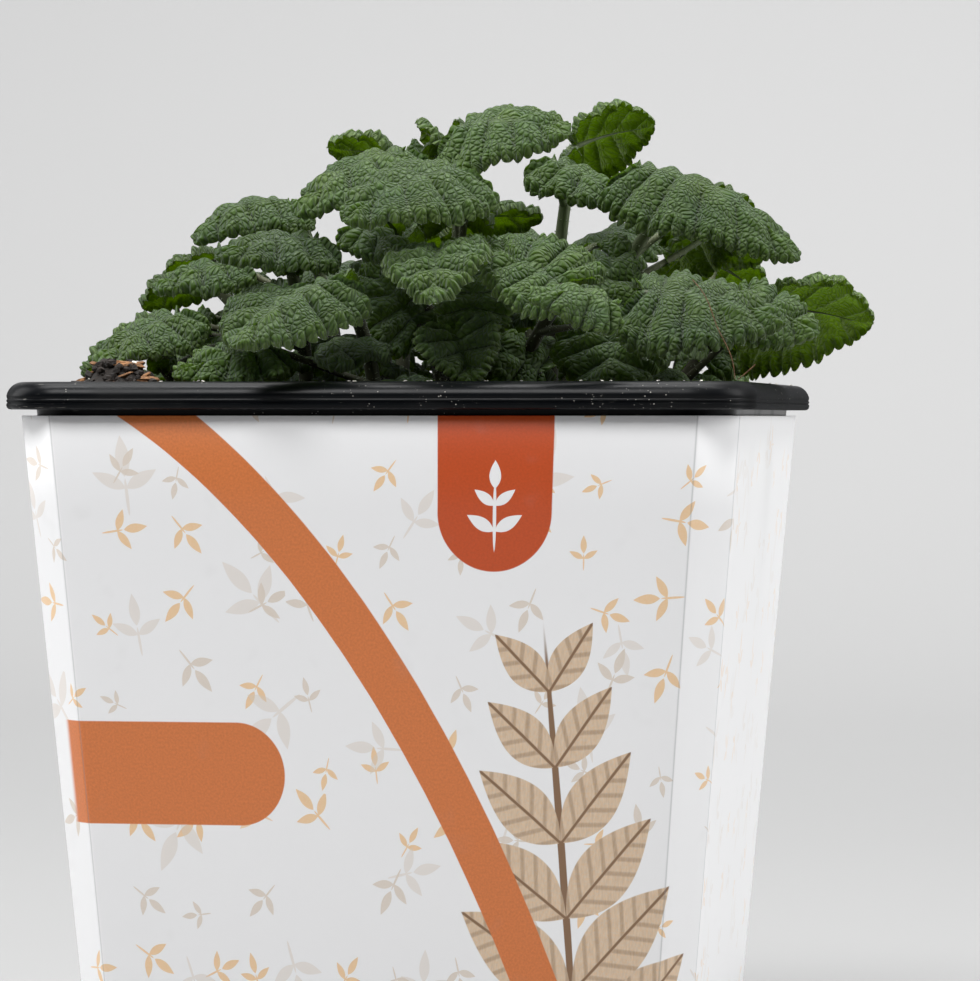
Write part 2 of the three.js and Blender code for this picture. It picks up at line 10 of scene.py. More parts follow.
import bmesh
import bpy
import numpy as np
from bpy.props import FloatProperty, FloatVectorProperty, IntProperty, PointerProperty
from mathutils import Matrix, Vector


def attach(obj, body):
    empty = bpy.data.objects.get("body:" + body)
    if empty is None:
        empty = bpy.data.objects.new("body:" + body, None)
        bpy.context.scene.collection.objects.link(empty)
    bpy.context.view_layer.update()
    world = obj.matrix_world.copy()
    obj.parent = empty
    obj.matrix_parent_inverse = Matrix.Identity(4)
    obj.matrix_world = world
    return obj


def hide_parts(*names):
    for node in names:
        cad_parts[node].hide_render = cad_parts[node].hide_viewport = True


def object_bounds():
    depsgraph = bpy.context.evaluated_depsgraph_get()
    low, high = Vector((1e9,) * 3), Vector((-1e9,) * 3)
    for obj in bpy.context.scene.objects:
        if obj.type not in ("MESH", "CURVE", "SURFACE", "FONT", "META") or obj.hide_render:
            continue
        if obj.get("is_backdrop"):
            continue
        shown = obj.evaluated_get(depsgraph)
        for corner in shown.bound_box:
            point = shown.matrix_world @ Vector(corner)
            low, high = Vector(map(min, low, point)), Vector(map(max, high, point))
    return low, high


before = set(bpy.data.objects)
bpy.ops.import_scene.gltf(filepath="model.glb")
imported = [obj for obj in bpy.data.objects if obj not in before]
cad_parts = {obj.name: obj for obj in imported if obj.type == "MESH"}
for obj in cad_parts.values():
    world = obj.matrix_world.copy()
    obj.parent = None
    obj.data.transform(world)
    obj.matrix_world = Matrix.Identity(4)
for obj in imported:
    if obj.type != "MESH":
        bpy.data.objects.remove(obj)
cad_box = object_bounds()

bl_info = {
    "name": "Potted catnip",
    "version": (1, 0, 0),
    "blender": (4, 5, 0),
    "location": "View3D > Sidebar > Catnip",
    "description": "Dresses the pot, its sleeve, the soil and the leafy stems of a catnip plant",
    "category": "Add Mesh",
}

MM = 0.001
BLADE, WOOD, DOWN = 0, 1, 2     # finishes of a leafy stem

# ---- Driving dimensions of the solids, in millimetres ---------------------------------
POT_HEIGHT = 120
RIM_HALF = 60
RIM_HEIGHT = 4.4
RIM_ROLL = 2.7
RIM_FLAT = 1.6
RIM_CORNER = 10
NECK_HEIGHT = 0.95
WALL_HALF = 56.3
WALL_CORNER = 12
WALL_THICKNESS = 1.2
FLOOR_THICKNESS = 1.6
TAPER = 0.0015          # share of the width lost for each millimetre downwards
DRAIN_RADIUS = 4
DRAIN_RING = 26
SLEEVE_HALF = 57.5
SLEEVE_BOARD = 0.6
SLEEVE_BEVEL = 6.05
SLEEVE_FOOT = 4
SOIL_LEVEL = 114.5
SOIL_LUMP = 1.5
FIT_GAP = 0.35          # between pieces that fit into each other
STEM_WIDTH = 2.3
STEM_SUNK = 6           # how far a stem goes into the soil
STALK_SUNK = 1          # how far a stalk goes on under its blade
TOOTH_DEPTH = 0.12      # of the half width
RIPPLE = 0.55           # height of the waves along a margin
CURL = 0.35             # how much steeper each half gets on its way to the edge (radians)
CLEAR_CELL = 1.1        # cells in which space is kept for the leaves
RIM_GAP = 1.2           # between the leaves and the rim or the soil
NECK_LEVEL = POT_HEIGHT - RIM_HEIGHT
SLEEVE_TOP = NECK_LEVEL - NECK_HEIGHT


def linear(hex_colour):
    """A hex colour as the linear red, green and blue that shaders work in."""
    parts = [(hex_colour >> shift & 255) / 255 for shift in (16, 8, 0)]
    return tuple(p / 12.92 if p <= 0.04045 else ((p + 0.055) / 1.055) ** 2.4 for p in parts)


def colour_property(name, hex_colour, description):
    """A colour that the panel shows, with its default given in hex."""
    return FloatVectorProperty(
        name=name, description=description, subtype="COLOR", size=3, min=0, max=1,
        default=linear(hex_colour),
    )


def length_property(name, millimetres, description):
    """A length that the panel shows, with its default given in millimetres."""
    return FloatProperty(
        name=name, description=description, unit="LENGTH", subtype="DISTANCE",
        default=millimetres * MM, precision=5,
    )


def power_property(name, watts, description):
    """A light's power that the panel shows."""
    return FloatProperty(name=name, description=description, default=watts, unit="POWER")


def shade(colour, share):
    """A colour with each of its parts multiplied by a share, up to 1."""
    return tuple(min(1, part * share) for part in colour)


# ---- Settings --------------------------------------------------------------------------
class LeafSettings(bpy.types.PropertyGroup):
    """Sizes and colours of the leafy stems."""

    top: colour_property("Upper side", 0x4D684A, "Downy upper side of a blade")
    # Creases: the side veins' own colour, and painted shade in the hollows between the puffs.
    crease: colour_property("Creases", 0x22331A, "Sunken net of veins on the upper side")
    under: colour_property("Under side", 0x55692A, "Under side of a blade")
    # The light-through colour is also painted into the lighter leaves' colour as painted glow.
    glow: colour_property("Light through", 0xB2D01C, "Light that shines through a blade")
    # The margin's paler colour is partly its own and partly painted highlight on the puffed lobes.
    edge: colour_property("Margin", 0x7F965E, "Puffed margin of a blade")
    stem: colour_property("Stems", 0x5E6D44, "Stems and leaf stalks")
    hair: colour_property("Down", 0xC9D6BE, "Fine hairs on stems, stalks and margins")
    thickness: length_property("Blade thickness", 0.5, "Thickness in the middle of a blade")
    puff: length_property("Puffs", 2.0, "Height of the puffs between the side veins")
    quilt: length_property("Quilting", 0.35, "Height of the small puffs along a side vein")
    lobe: length_property("Lobes", 0.9, "Height of the puffed lobes along the margin")
    hair_length: length_property("Hair length", 0.6, "Length of the fine hairs")
    columns: IntProperty(
        name="Columns", description="Grid columns from the midrib of a large blade to its edge",
        default=16, min=4,
    )


class PotSettings(bpy.types.PropertyGroup):
    """Colours and finish of the pot."""

    plastic: colour_property("Plastic", 0x090B0E, "Black moulded plastic")
    dust: colour_property("Dust", 0xB9B6AE, "Dust, specks and fine scratches on the rim")
    roughness: FloatProperty(
        name="Roughness", description="Roughness of the clean plastic", default=0.3, min=0, max=1,
        subtype="FACTOR",
    )


class SleeveSettings(bpy.types.PropertyGroup):
    """Colours of the board sleeve and of what is printed on it."""

    board: colour_property("Board", 0xFAFAFB, "Coated white board")
    rust: colour_property("Rust ink", 0xC8501F, "Ink of the tab")
    orange: colour_property("Orange ink", 0xD97C43, "Ink of the banner and the ribbon")
    peach: colour_property("Peach ink", 0xF4CD9C, "Ink of the small sprigs")
    tan: colour_property("Tan ink", 0xE4D8CB, "Ink of the palest sprigs")
    brown: colour_property("Brown ink", 0x8A6A4E, "Ink of the large sprig")


class SoilSettings(bpy.types.PropertyGroup):
    """Colours and counts of the soil."""

    peat: colour_property("Peat", 0x1E1610, "Damp dark peat")
    bark: colour_property("Bark", 0x8D6440, "Bark chips and dry fibres")
    perlite: colour_property("White grains", 0xE6E2D8, "White mineral grains")
    crumbs: IntProperty(name="Crumbs", description="Loose crumbs on the soil", default=1500, min=0)


class StageSettings(bpy.types.PropertyGroup):
    """Floor, lights and camera."""

    # The floor's colour is darker than the backdrop's: painted shade on the floor.
    floor: colour_property("Floor", 0x939393, "Plain pale floor")
    backdrop: colour_property("Backdrop", 0xBCBCBC, "Plain pale backdrop")
    key_power: power_property("Side lights", 7.0, "Power of each side light")
    top_power: power_property("Top light", 9.0, "Power of the light overhead")
    fill_power: power_property("Front light", 19.6, "Power of the front light")
    back_power: power_property("Backdrop light", 66.0, "Power of the backdrop's light")
    lens: FloatProperty(name="Lens", description="Focal length in millimetres", default=162.25)


# ---- Meshes ----------------------------------------------------------------------------
def ring_grid(rows, columns):
    """The numbers of the points on closed rings, those of their next neighbours on the same
    ring, and the quads between neighbouring rings."""
    corner = np.arange(rows * columns).reshape(rows, columns)
    beside = np.roll(corner, -1, axis=1)
    quads = np.stack([corner[:-1], beside[:-1], beside[1:], corner[1:]], axis=-1)
    return corner, beside, quads.reshape(-1, 4)


def link(name, data):
    """A new object in the scene."""
    piece = bpy.data.objects.new(name, data)
    bpy.context.scene.collection.objects.link(piece)
    return piece


class Shell:
    """Points and faces gathered for one mesh, in millimetres. Every point carries a flat
    place (two numbers, metres) and a paint value (four numbers); every face a finish."""

    def __init__(self):
        self.points, self.faces, self.flats, self.paints, self.finishes = [], [], [], [], []
        self.count = 0

    def add(self, points, faces, flat=None, paint=None, finish=0):
        """Adds points[n, 3] with the faces given as arrays of three or four point numbers."""
        points = np.asarray(points, float).reshape(-1, 3)
        amount = len(points)
        self.points.append(points)
        self.flats.append(np.zeros((amount, 2)) if flat is None else np.reshape(flat, (-1, 2)))
        self.paints.append(np.broadcast_to((0, 0, 0, 1) if paint is None else paint, (amount, 4)))
        for part in faces:
            self.faces.append(np.asarray(part) + self.count)
            self.finishes.append(np.full(len(part), finish))
        self.count += amount

    def tube(self, rings, ends, flat=None, paint=None, finish=0):
        """Adds a closed skin over rings[r, c, 3], which run anticlockwise as seen from the
        end they advance to, with a pole at each end."""
        corner, beside, quads = ring_grid(*rings.shape[:2])
        poles = corner.size + np.zeros_like(corner[:2]) + [[0], [1]]
        first = np.stack([poles[0], beside[0], corner[0]], axis=-1)
        last = np.stack([poles[1], corner[-1], beside[-1]], axis=-1)

        def with_poles(values, size):
            if values is None or np.ndim(values) < 3:
                return values
            means = values[[0, -1]].mean(axis=1)
            return np.concatenate([values.reshape(-1, size), means])

        points = np.concatenate([rings.reshape(-1, 3), ends])
        self.add(points, [quads, first, last], with_poles(flat, 2), with_poles(paint, 4), finish)

    def sheet(self, outer, inner, flat=None, paint=None, finish=0):
        """Adds a closed sheet between two grids of points [r, c, 3] of the same size. The
        outer grid's normal is that of its column direction crossed with its row direction."""
        rows, columns = outer.shape[:2]
        near = np.arange(rows * columns).reshape(rows, columns)
        far = near + rows * columns

        def quads(a, b, c, d):
            return np.stack([a, b, c, d], axis=-1).reshape(-1, 4)

        faces = [
            quads(near[:-1, :-1], near[:-1, 1:], near[1:, 1:], near[1:, :-1]),
            quads(far[:-1, :-1], far[1:, :-1], far[1:, 1:], far[:-1, 1:]),
            quads(near[0, 1:], near[0, :-1], far[0, :-1], far[0, 1:]),
            quads(near[-1, :-1], near[-1, 1:], far[-1, 1:], far[-1, :-1]),
            quads(near[:-1, 0], near[1:, 0], far[1:, 0], far[:-1, 0]),
            quads(near[1:, -1], near[:-1, -1], far[:-1, -1], far[1:, -1]),
        ]
        both = None if flat is None else np.concatenate([flat.reshape(-1, 2)] * 2)
        self.add(np.stack([outer, inner]), faces, both, paint, finish)

    def copies(self, points, faces, paints, finish=0):
        """Adds points[k, n, 3], k shapes of n points that all have the same faces."""
        amount, size = points.shape[:2]
        starts = (np.arange(amount) * size)[:, None, None]
        repeated = [(np.asarray(f)[None] + starts).reshape(-1, np.shape(f)[1]) for f in faces]
        self.add(points, repeated, None, np.repeat(paints, size, axis=0), finish)

    def finish(self, name, materials, slot, replaces=(), crease=40, weld=False):
        """Makes the object, which rides on the part's one body and takes the place of nodes."""
        mesh = bpy.data.meshes.new(name)
        corners = np.concatenate([part.ravel() for part in self.faces]).astype(np.int32)
        sizes = np.concatenate([np.full(len(part), part.shape[1]) for part in self.faces])
        points = np.concatenate(self.points) * MM
        mesh.vertices.add(len(points))
        mesh.vertices.foreach_set("co", points.astype(np.float32).ravel())
        mesh.loops.add(len(corners))
        mesh.loops.foreach_set("vertex_index", corners)
        mesh.polygons.add(len(sizes))
        starts = np.concatenate([[0], np.cumsum(sizes)[:-1]]).astype(np.int32)
        mesh.polygons.foreach_set("loop_start", starts)
        mesh.polygons.foreach_set("material_index", np.concatenate(self.finishes).astype(np.int32))
        mesh.update(calc_edges=True)
        flat = np.concatenate(self.flats)[corners]
        mesh.uv_layers.new(name="Flat").uv.foreach_set("vector", flat.astype(np.float32).ravel())
        paint = mesh.attributes.new("Paint", "FLOAT_COLOR", "POINT")
        paint.data.foreach_set("color", np.concatenate(self.paints).astype(np.float32).ravel())
        for material in materials:
            mesh.materials.append(material)
        if weld:
            work = bmesh.new()
            work.from_mesh(mesh)
            bmesh.ops.remove_doubles(work, verts=work.verts, dist=0.001 * MM)
            work.to_mesh(mesh)
            work.free()
        mesh.shade_smooth()
        mesh.set_sharp_from_angle(angle=math.radians(crease))
        piece = link(name, mesh)
        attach(piece, "root")
        if replaces:
            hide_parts(*replaces)
        return piece


def unit(vectors):
    """Each vector divided by its own length."""
    return vectors / np.linalg.norm(vectors, axis=-1, keepdims=True)


def seeded(seed):
    """Numbers between 0 and 1 in a fixed order: a counter, mixed by two rounds of products
    and shifts of its 32 bits."""
    state = seed
    while True:
        state = (state + 0x6D2B79F5) & 0xFFFFFFFF
        mixed = (state ^ (state >> 15)) * (state | 1) & 0xFFFFFFFF
        mixed ^= (mixed + (mixed ^ (mixed >> 7)) * (mixed | 61)) & 0xFFFFFFFF
        yield (mixed ^ (mixed >> 14)) / 4294967296


def lumps(x, y, size, seed):
    """Smooth noise between -1 and 1: a random height at each corner of a square grid of this
    size, joined by an S-shaped curve 3t² - 2t³ in both directions."""
    heights = np.random.default_rng(seed).uniform(-1, 1, (256, 256))
    gx, gy = x / size + 128, y / size + 128
    ix, iy = np.floor(gx).astype(int), np.floor(gy).astype(int)
    tx, ty = gx - ix, gy - iy
    tx, ty = tx * tx * (3 - 2 * tx), ty * ty * (3 - 2 * ty)
    near = heights[ix, iy] * (1 - tx) + heights[ix + 1, iy] * tx
    far = heights[ix, iy + 1] * (1 - tx) + heights[ix + 1, iy + 1] * tx
    return near * (1 - ty) + far * ty


def sphere_rings(rows, columns):
    """Rings of a unit sphere from its lower to its upper pole, and the two poles."""
    angle = np.linspace(-90, 90, rows + 2)[1:-1, None] * math.pi / 180
    turn = np.linspace(0, 2 * math.pi, columns, endpoint=False)[None]
    ones = np.ones_like(turn)
    level = np.cos(angle)
    rings = np.stack([level * np.cos(turn), level * np.sin(turn), np.sin(angle) * ones], axis=-1)
    return rings, np.array([[0, 0, -1.0], [0, 0, 1.0]])


# ---- Shader nodes ----------------------------------------------------------------------
def adds(operation):
    """A method that adds a Math node with this operation."""
    return lambda self, *others: self.math(operation, *others)


class Value:
    """A number in a shader. Python's operators on it add Math nodes: | is the larger of two
    and & the smaller."""

    def __init__(self, shader, socket):
        self.shader, self.socket = shader, socket

    def math(self, operation, *others):
        """The result of a Math node on this number and others."""
        return self.shader.node("ShaderNodeMath", {"operation": operation}, [self, *others])

    def __rsub__(self, other):
        return self.shader.node("ShaderNodeMath", {"operation": "SUBTRACT"}, [other, self])

    __add__ = __radd__ = adds("ADD")
    __sub__ = adds("SUBTRACT")
    __mul__ = __rmul__ = adds("MULTIPLY")
    __truediv__ = adds("DIVIDE")
    __pow__ = adds("POWER")
    __abs__ = adds("ABSOLUTE")
    __or__ = adds("MAXIMUM")
    __and__ = adds("MINIMUM")


class Shader:
    """The nodes of one material."""

    def __init__(self, name):
        self.material = bpy.data.materials.new(name)
        self.material.use_nodes = True
        self.tree = self.material.node_tree
        self.tree.nodes.clear()

    def node(self, kind, settings=None, inputs=(), output=0):
        """Adds a node: its settings first, then its inputs in order or by name. Gives back
        the output asked for, or the node itself where output is None."""
        node = self.tree.nodes.new(kind)
        for key, value in (settings or {}).items():
            setattr(node, key, value)
        for key, value in inputs.items() if isinstance(inputs, dict) else enumerate(inputs):
            if isinstance(value, Value):
                self.tree.links.new(value.socket, node.inputs[key])
            elif value is not None:
                node.inputs[key].default_value = value
        return node if output is None else Value(self, node.outputs[output])

    def split(self, vector):
        """The three numbers of a vector or colour."""
        node = self.node("ShaderNodeSeparateXYZ", None, [vector], None)
        return [Value(self, socket) for socket in node.outputs]

    def join(self, x, y, z=0.0):
        """A vector from three numbers."""
        return self.node("ShaderNodeCombineXYZ", None, [x, y, z])

    def fade(self, value, low, high):
        """0 below low, 1 above high, and an S-shaped curve between."""
        settings = {"interpolation_type": "SMOOTHSTEP"}
        return self.node("ShaderNodeMapRange", settings, [value, low, high, 0.0, 1.0])

    def mix(self, factor, first, second):
        """First where factor is 0 and second where it is 1, for colours."""
        first, second = [c if isinstance(c, Value) else (*c[:3], 1) for c in (first, second)]
        inputs = {0: factor, 6: first, 7: second}
        return self.node("ShaderNodeMix", {"data_type": "RGBA"}, inputs, 2)

    def inside(self, distance, half, soft=0.1):
        """1 where a distance is under half, 0 where it is over, with a soft edge."""
        return 1 - self.fade(distance, half - soft, half + soft)

    def noise(self, place, scale, detail=2.0, roughness=0.5):
        """Soft noise between 0 and 1, with scale in cycles for each unit of the place."""
        inputs = {"Vector": place, "Scale": scale, "Detail": detail, "Roughness": roughness}
        return self.node("ShaderNodeTexNoise", None, inputs)

    def cells(self, place, scale, feature="F1", jitter=1.0, dimensions="3D"):
        """The distance from the nearest of some scattered points, or from the nearest edge
        between the cells round them."""
        settings = {"voronoi_dimensions": dimensions, "feature": feature}
        inputs = {"Vector": place, "Scale": scale, "Randomness": jitter}
        return self.node("ShaderNodeTexVoronoi", settings, inputs, "Distance")

    def object_place(self):
        """The place in the part's own frame, in metres."""
        return self.node("ShaderNodeTexCoord", None, (), "Object")

    def flat_place(self):
        """The flat place that a mesh carries, in millimetres, as two numbers."""
        x, y, _ = self.split(self.node("ShaderNodeUVMap", {"uv_map": "Flat"}))
        return x * 1000, y * 1000

    def paint(self):
        """The paint value that a mesh carries, as four numbers."""
        node = self.node("ShaderNodeAttribute", {"attribute_name": "Paint"}, (), None)
        colour = Value(self, node.outputs["Color"])
        return [*self.split(colour), Value(self, node.outputs["Alpha"])]

    def bump(self, height, distance, strength=1.0):
        """A normal tilted by a height between 0 and 1 over a distance in metres."""
        inputs = {"Height": height, "Distance": distance, "Strength": strength}
        return self.node("ShaderNodeBump", None, inputs)

    def principled(self, **inputs):
        """A Principled shader, with spaces in its sockets' names written as underscores."""
        named = {key.replace("_", " "): value for key, value in inputs.items()}
        for key, value in named.items():
            if isinstance(value, tuple) and len(value) == 3:
                named[key] = (*value, 1)
        return self.node("ShaderNodeBsdfPrincipled", None, named)

    def done(self, through=0.0, glow=None, **inputs):
        """Gives back the material: a Principled surface, mixed where glow is given with a
        surface that lets a share of the light through in that colour."""
        surface = self.principled(**inputs)
        if glow:
            lit = self.node("ShaderNodeBsdfTranslucent", None, {"Color": (*glow, 1)})
            surface = self.node("ShaderNodeMixShader", None, [through, surface, lit])
        self.node("ShaderNodeOutputMaterial", None, {"Surface": surface}, None)
        return self.material


# ---- Pot -------------------------------------------------------------------------------
def taper_at(z):
    """Share of the sleeve's top width that is left at a height."""
    return 1 - TAPER * (SLEEVE_TOP - z)


def wall_half(z):
    """Half width of the pot's wall at a height."""
    return WALL_HALF * taper_at(z)


CORNER_STEPS, SIDE_STEPS = 12, 5
# The outer wall from the base upwards: how far in, and how high.
OUTER_WALL = [(2.2, 0), (1.5, 0.25), (0.5, 1.2), (0.3, 1.6), (0, 4), (0, NECK_LEVEL)]
# The lip's face from its lower edge upwards: how far in from the widest line, and how high
# above the lower edge. Two fine beads run round it with a groove between them.
LIP_FACE = [(0.75, 0.02), (0.35, 0.12), (0.12, 0.36), (0.02, 0.7), (0.05, 0.95), (0.2, 1.08),
            (0.2, 1.16), (0.05, 1.28), (0.03, 1.5), (0.16, 1.66), (0.17, 1.76), (0.08, 1.9)]


def rounded_square(half, radius, z):
    """A square with quarter-circle corners, anticlockwise from the middle of its right side:
    half a straight side, an arc, and half a straight side, four times."""
    inner = half - radius
    run = np.linspace(0, 1, SIDE_STEPS, endpoint=False) * inner
    arc = np.linspace(0, math.pi / 2, CORNER_STEPS, endpoint=False)
    x = np.concatenate([np.full(SIDE_STEPS, half), inner + radius * np.cos(arc), inner - run])
    y = np.concatenate([run, inner + radius * np.sin(arc), np.full(SIDE_STEPS, half)])
    quarters = [(x, y), (-y, x), (-x, -y), (y, -x)]
    return np.array([[*spot, z] for qx, qy in quarters for spot in zip(qx, qy)])


def wall_ring(inset, z):
    """A ring on the pot's wall, moved in by inset."""
    return rounded_square(wall_half(z) - inset, WALL_CORNER - inset, z)


def lip_ring(inset, z):
    """A ring on the rim's lip, moved in by inset."""
    return rounded_square(RIM_HALF - inset, RIM_CORNER - inset, z)


def add_floor(shell, outline, z, looks_up):
    """A square floor with a round hole in each quarter. Each quarter is a fan of strips from
    the hole's circle out to the quarter's outline, point for point at the same angle. The
    upper floor also makes the holes' walls."""
    quarter = len(outline) // 4
    spoke = np.linspace(1, 0, 7)
    for turn in range(4):
        edge = outline[np.arange(turn * quarter, (turn + 1) * quarter + 1) % len(outline), :2]
        border = np.concatenate([edge, edge[-1] * spoke[1:, None], edge[0] * spoke[-2:0:-1, None]])
        angle = math.radians(45 + 90 * turn)
        centre = DRAIN_RING * np.array([math.cos(angle), math.sin(angle)])
        hole = centre + DRAIN_RADIUS * unit(border - centre)
        rows = [hole, (hole + border) / 2, border]
        grid = np.stack([np.column_stack([row, np.full(len(row), z)]) for row in rows])
        quads = ring_grid(*grid.shape[:2])[2]
        shell.add(grid, [quads[:, ::-1] if looks_up else quads])
        if looks_up:
            wall = np.stack([grid[0], grid[0] * [1, 1, 0]])
            shell.add(wall, [ring_grid(*wall.shape[:2])[2]])


def make_pot(settings):
    """The pot: rings up the outer wall, round the lip, over the rolled rim and down the inner
    wall, with a pierced floor that closes both ends."""
    profile = [wall_ring(*spot) for spot in OUTER_WALL]
    profile += [lip_ring(inset, NECK_LEVEL + rise) for inset, rise in LIP_FACE]
    for angle in np.radians(np.linspace(12, 90, 12)):
        inset, fall = RIM_ROLL * (1 - math.cos(angle)), RIM_ROLL * (1 - math.sin(angle))
        profile.append(lip_ring(inset, POT_HEIGHT - fall))
    edge, chamfer = RIM_ROLL + RIM_FLAT, 0.25
    profile += [
        lip_ring(edge - chamfer, POT_HEIGHT), lip_ring(edge, POT_HEIGHT - chamfer),
        wall_ring(WALL_THICKNESS, NECK_LEVEL - 1), wall_ring(WALL_THICKNESS, FLOOR_THICKNESS)]
    rings = np.stack(profile)
    shell = Shell()
    shell.add(rings, [ring_grid(*rings.shape[:2])[2]])
    add_floor(shell, rings[0], 0, False)
    add_floor(shell, rings[-1], FLOOR_THICKNESS, True)
    shell.finish("nursery_pot", [plastic_material(settings)], "pot_plastic", ["pot"], weld=True)


def plastic_material(settings):
    """Black moulded plastic with dust, white specks and fine scratches, duller at its left
    and right sides, where it is scuffed."""
    shader = Shader("black plastic")
    place = shader.object_place()
    x, y, z = shader.split(place)
    dusty = shader.fade(shader.noise(place, 60, 3), 0.5, 0.75)
    speck = 1 - shader.fade(shader.cells(place, 1300), 0.07, 0.17)
    speck = speck * shader.fade(shader.noise(place, 110, 2), 0.54, 0.68)
    streak = shader.noise(shader.join(x * 0.15, y * 0.15, z), 2600, 2)
    scratch = shader.fade(streak, 0.68, 0.76) * shader.fade(shader.noise(place, 45, 2), 0.5, 0.62)
    mark = (speck | scratch * 0.3) | dusty * 0.012
    scuffed = shader.fade(abs(x), (RIM_HALF - 2.5) * MM, (RIM_HALF - 0.6) * MM)
    relief = shader.noise(place, 900, 1)
    return shader.done(
        Base_Color=shader.mix(mark, settings.plastic, settings.dust),
        Roughness=settings.roughness + dusty * 0.12 + mark * 0.3 + scuffed * 0.5,
        Specular_IOR_Level=0.11, Normal=shader.bump(relief, 0.00003, 0.3))


# ---- Sleeve ----------------------------------------------------------------------------
SEAM_OFFSET = 12        # from the middle of the back to the glued flap's edge
SEAM_LAP = 14           # how far the flap lies over the other end
PANEL_BOW = 0.22        # how far a wide panel bows outwards
FOLD_RADIUS = 0.55

# How far along the board each fold of the right half lies from the front's middle.
NEAR = SLEEVE_HALF - SLEEVE_BEVEL
SLANT = SLEEVE_BEVEL * math.sqrt(2)
FOLD_PLACES = [NEAR, NEAR + SLANT, 3 * NEAR + SLANT, 3 * NEAR + 2 * SLANT]


def sleeve_path(offset):
    """The sleeve's outline as seen from above, unrolled from the flap's edge at the back, to
    the left, the front, the right and back again: flat panels that bow a little, and a small
    arc at each fold. Gives the points and how far each is along the board from the front's
    middle."""
    half, near = SLEEVE_HALF - offset, NEAR - offset * (math.sqrt(2) - 1)
    right = [(near, -half), (half, -near), (half, near), (near, half)]
    folds = [((-x, y), -place) for (x, y), place in zip(right, FOLD_PLACES)][::-1]
    folds += zip(right, FOLD_PLACES)
    back, reach = FOLD_PLACES[3] + near, SEAM_OFFSET + SEAM_LAP
    stops = [((-SEAM_OFFSET, half), SEAM_OFFSET - back), *folds, ((-reach, half), back + reach)]
    spots = np.array([spot for spot, _ in stops], float)
    lengths = np.linalg.norm(np.diff(spots, axis=0), axis=1)
    ways = unit(np.diff(spots, axis=0))
    points, places = [], []
    for index, (length, way) in enumerate(zip(lengths, ways)):
        here, there = spots[index:index + 2]
        place, next_place = stops[index][1], stops[index + 1][1]
        ends_here = index == len(ways) - 1
        wide = length > 4 * SLEEVE_BEVEL
        run = np.linspace(FOLD_RADIUS if index else 0, length - FOLD_RADIUS * (not ends_here),
                          16 if wide else 5)
        bow = PANEL_BOW * np.sin(math.pi * run / length) ** 2 * wide
        points.append(here + way * run[:, None] + np.array([way[1], -way[0]]) * bow[:, None])
        places.append(place + (next_place - place) * run / length)
        if not ends_here:
            t = np.array([0.25, 0.5, 0.75])
            before, beyond = there - way * FOLD_RADIUS, there + ways[index + 1] * FOLD_RADIUS
            points.append(bezier([before, there, beyond], t))
            places.append(next_place + (t * 2 - 1) * FOLD_RADIUS)
    return np.concatenate(points), np.concatenate(places)


def make_sleeve(settings):
    """The sleeve: one closed sheet of board along the unrolled outline, narrowing downwards
    with the pot, whose last stretch lies over the first as a glued flap."""
    outline, place = sleeve_path(0)
    inside, _ = sleeve_path(SLEEVE_BOARD)
    low, high = SLEEVE_FOOT, SLEEVE_TOP
    z = np.array([low, low + 0.1, 20, 40, 60, 80, 100, high - 0.1, high])
    lap = np.clip((place - (place[-1] - 2 * SEAM_LAP)) / SEAM_LAP, 0, 1)
    lift = lap * (SLEEVE_BOARD + 0.05)
    out = np.column_stack([np.zeros(len(place)), lift])
    rounding = np.zeros(len(z))
    rounding[[0, -1]] = 0.08
    width = taper_at(z)[:, None, None]

    def grid(line, inwards):
        flat = (line + out)[None] * width * (1 - inwards[:, None, None] / SLEEVE_HALF)
        height = np.broadcast_to(z[:, None, None], (len(z), len(place), 1))
        return np.concatenate([flat, height], axis=-1)

    flat = np.stack(np.broadcast_arrays(place[None] * MM, z[:, None] * MM), axis=-1)
    shell = Shell()
    shell.sheet(grid(outline, rounding), grid(inside, -rounding), flat)
    materials = [board_material(settings)]
    shell.finish("board_sleeve", materials, "sleeve_board", ["sleeve"], crease=60)


def turned(x, y, origin, degrees):
    """How far along and across a place is, measured from origin with the axes turned."""
    turn = math.radians(degrees)
    dx, dy = x - origin[0], y - origin[1]
    return dx * math.cos(turn) + dy * math.sin(turn), dy * math.cos(turn) - dx * math.sin(turn)


def ellipse(shader, x, y, centre, half_length, half_width, degrees, soft=0.12):
    """1 inside an ellipse with its long axis turned by an angle, and 0 outside it."""
    along, across = turned(x, y, centre, degrees)
    along, across = along / half_length, across / half_width
    return shader.inside(along * along + across * across, 1, soft)


def leaf_shape(shader, x, y, base, length, degrees, width=0.36, soft=0.1):
    """1 inside a pointed leaf that grows from base at an angle: its half width is a parabola
    along its length, widest a little before the middle."""
    along, across = turned(x, y, base, degrees)
    along = ((along / length) | 0.0) & 1.0
    room = along * (1 - along) * (1.25 - 0.5 * along) * (2 * width)
    return shader.fade(room - abs(across) / length, 0.0, soft * 0.2)


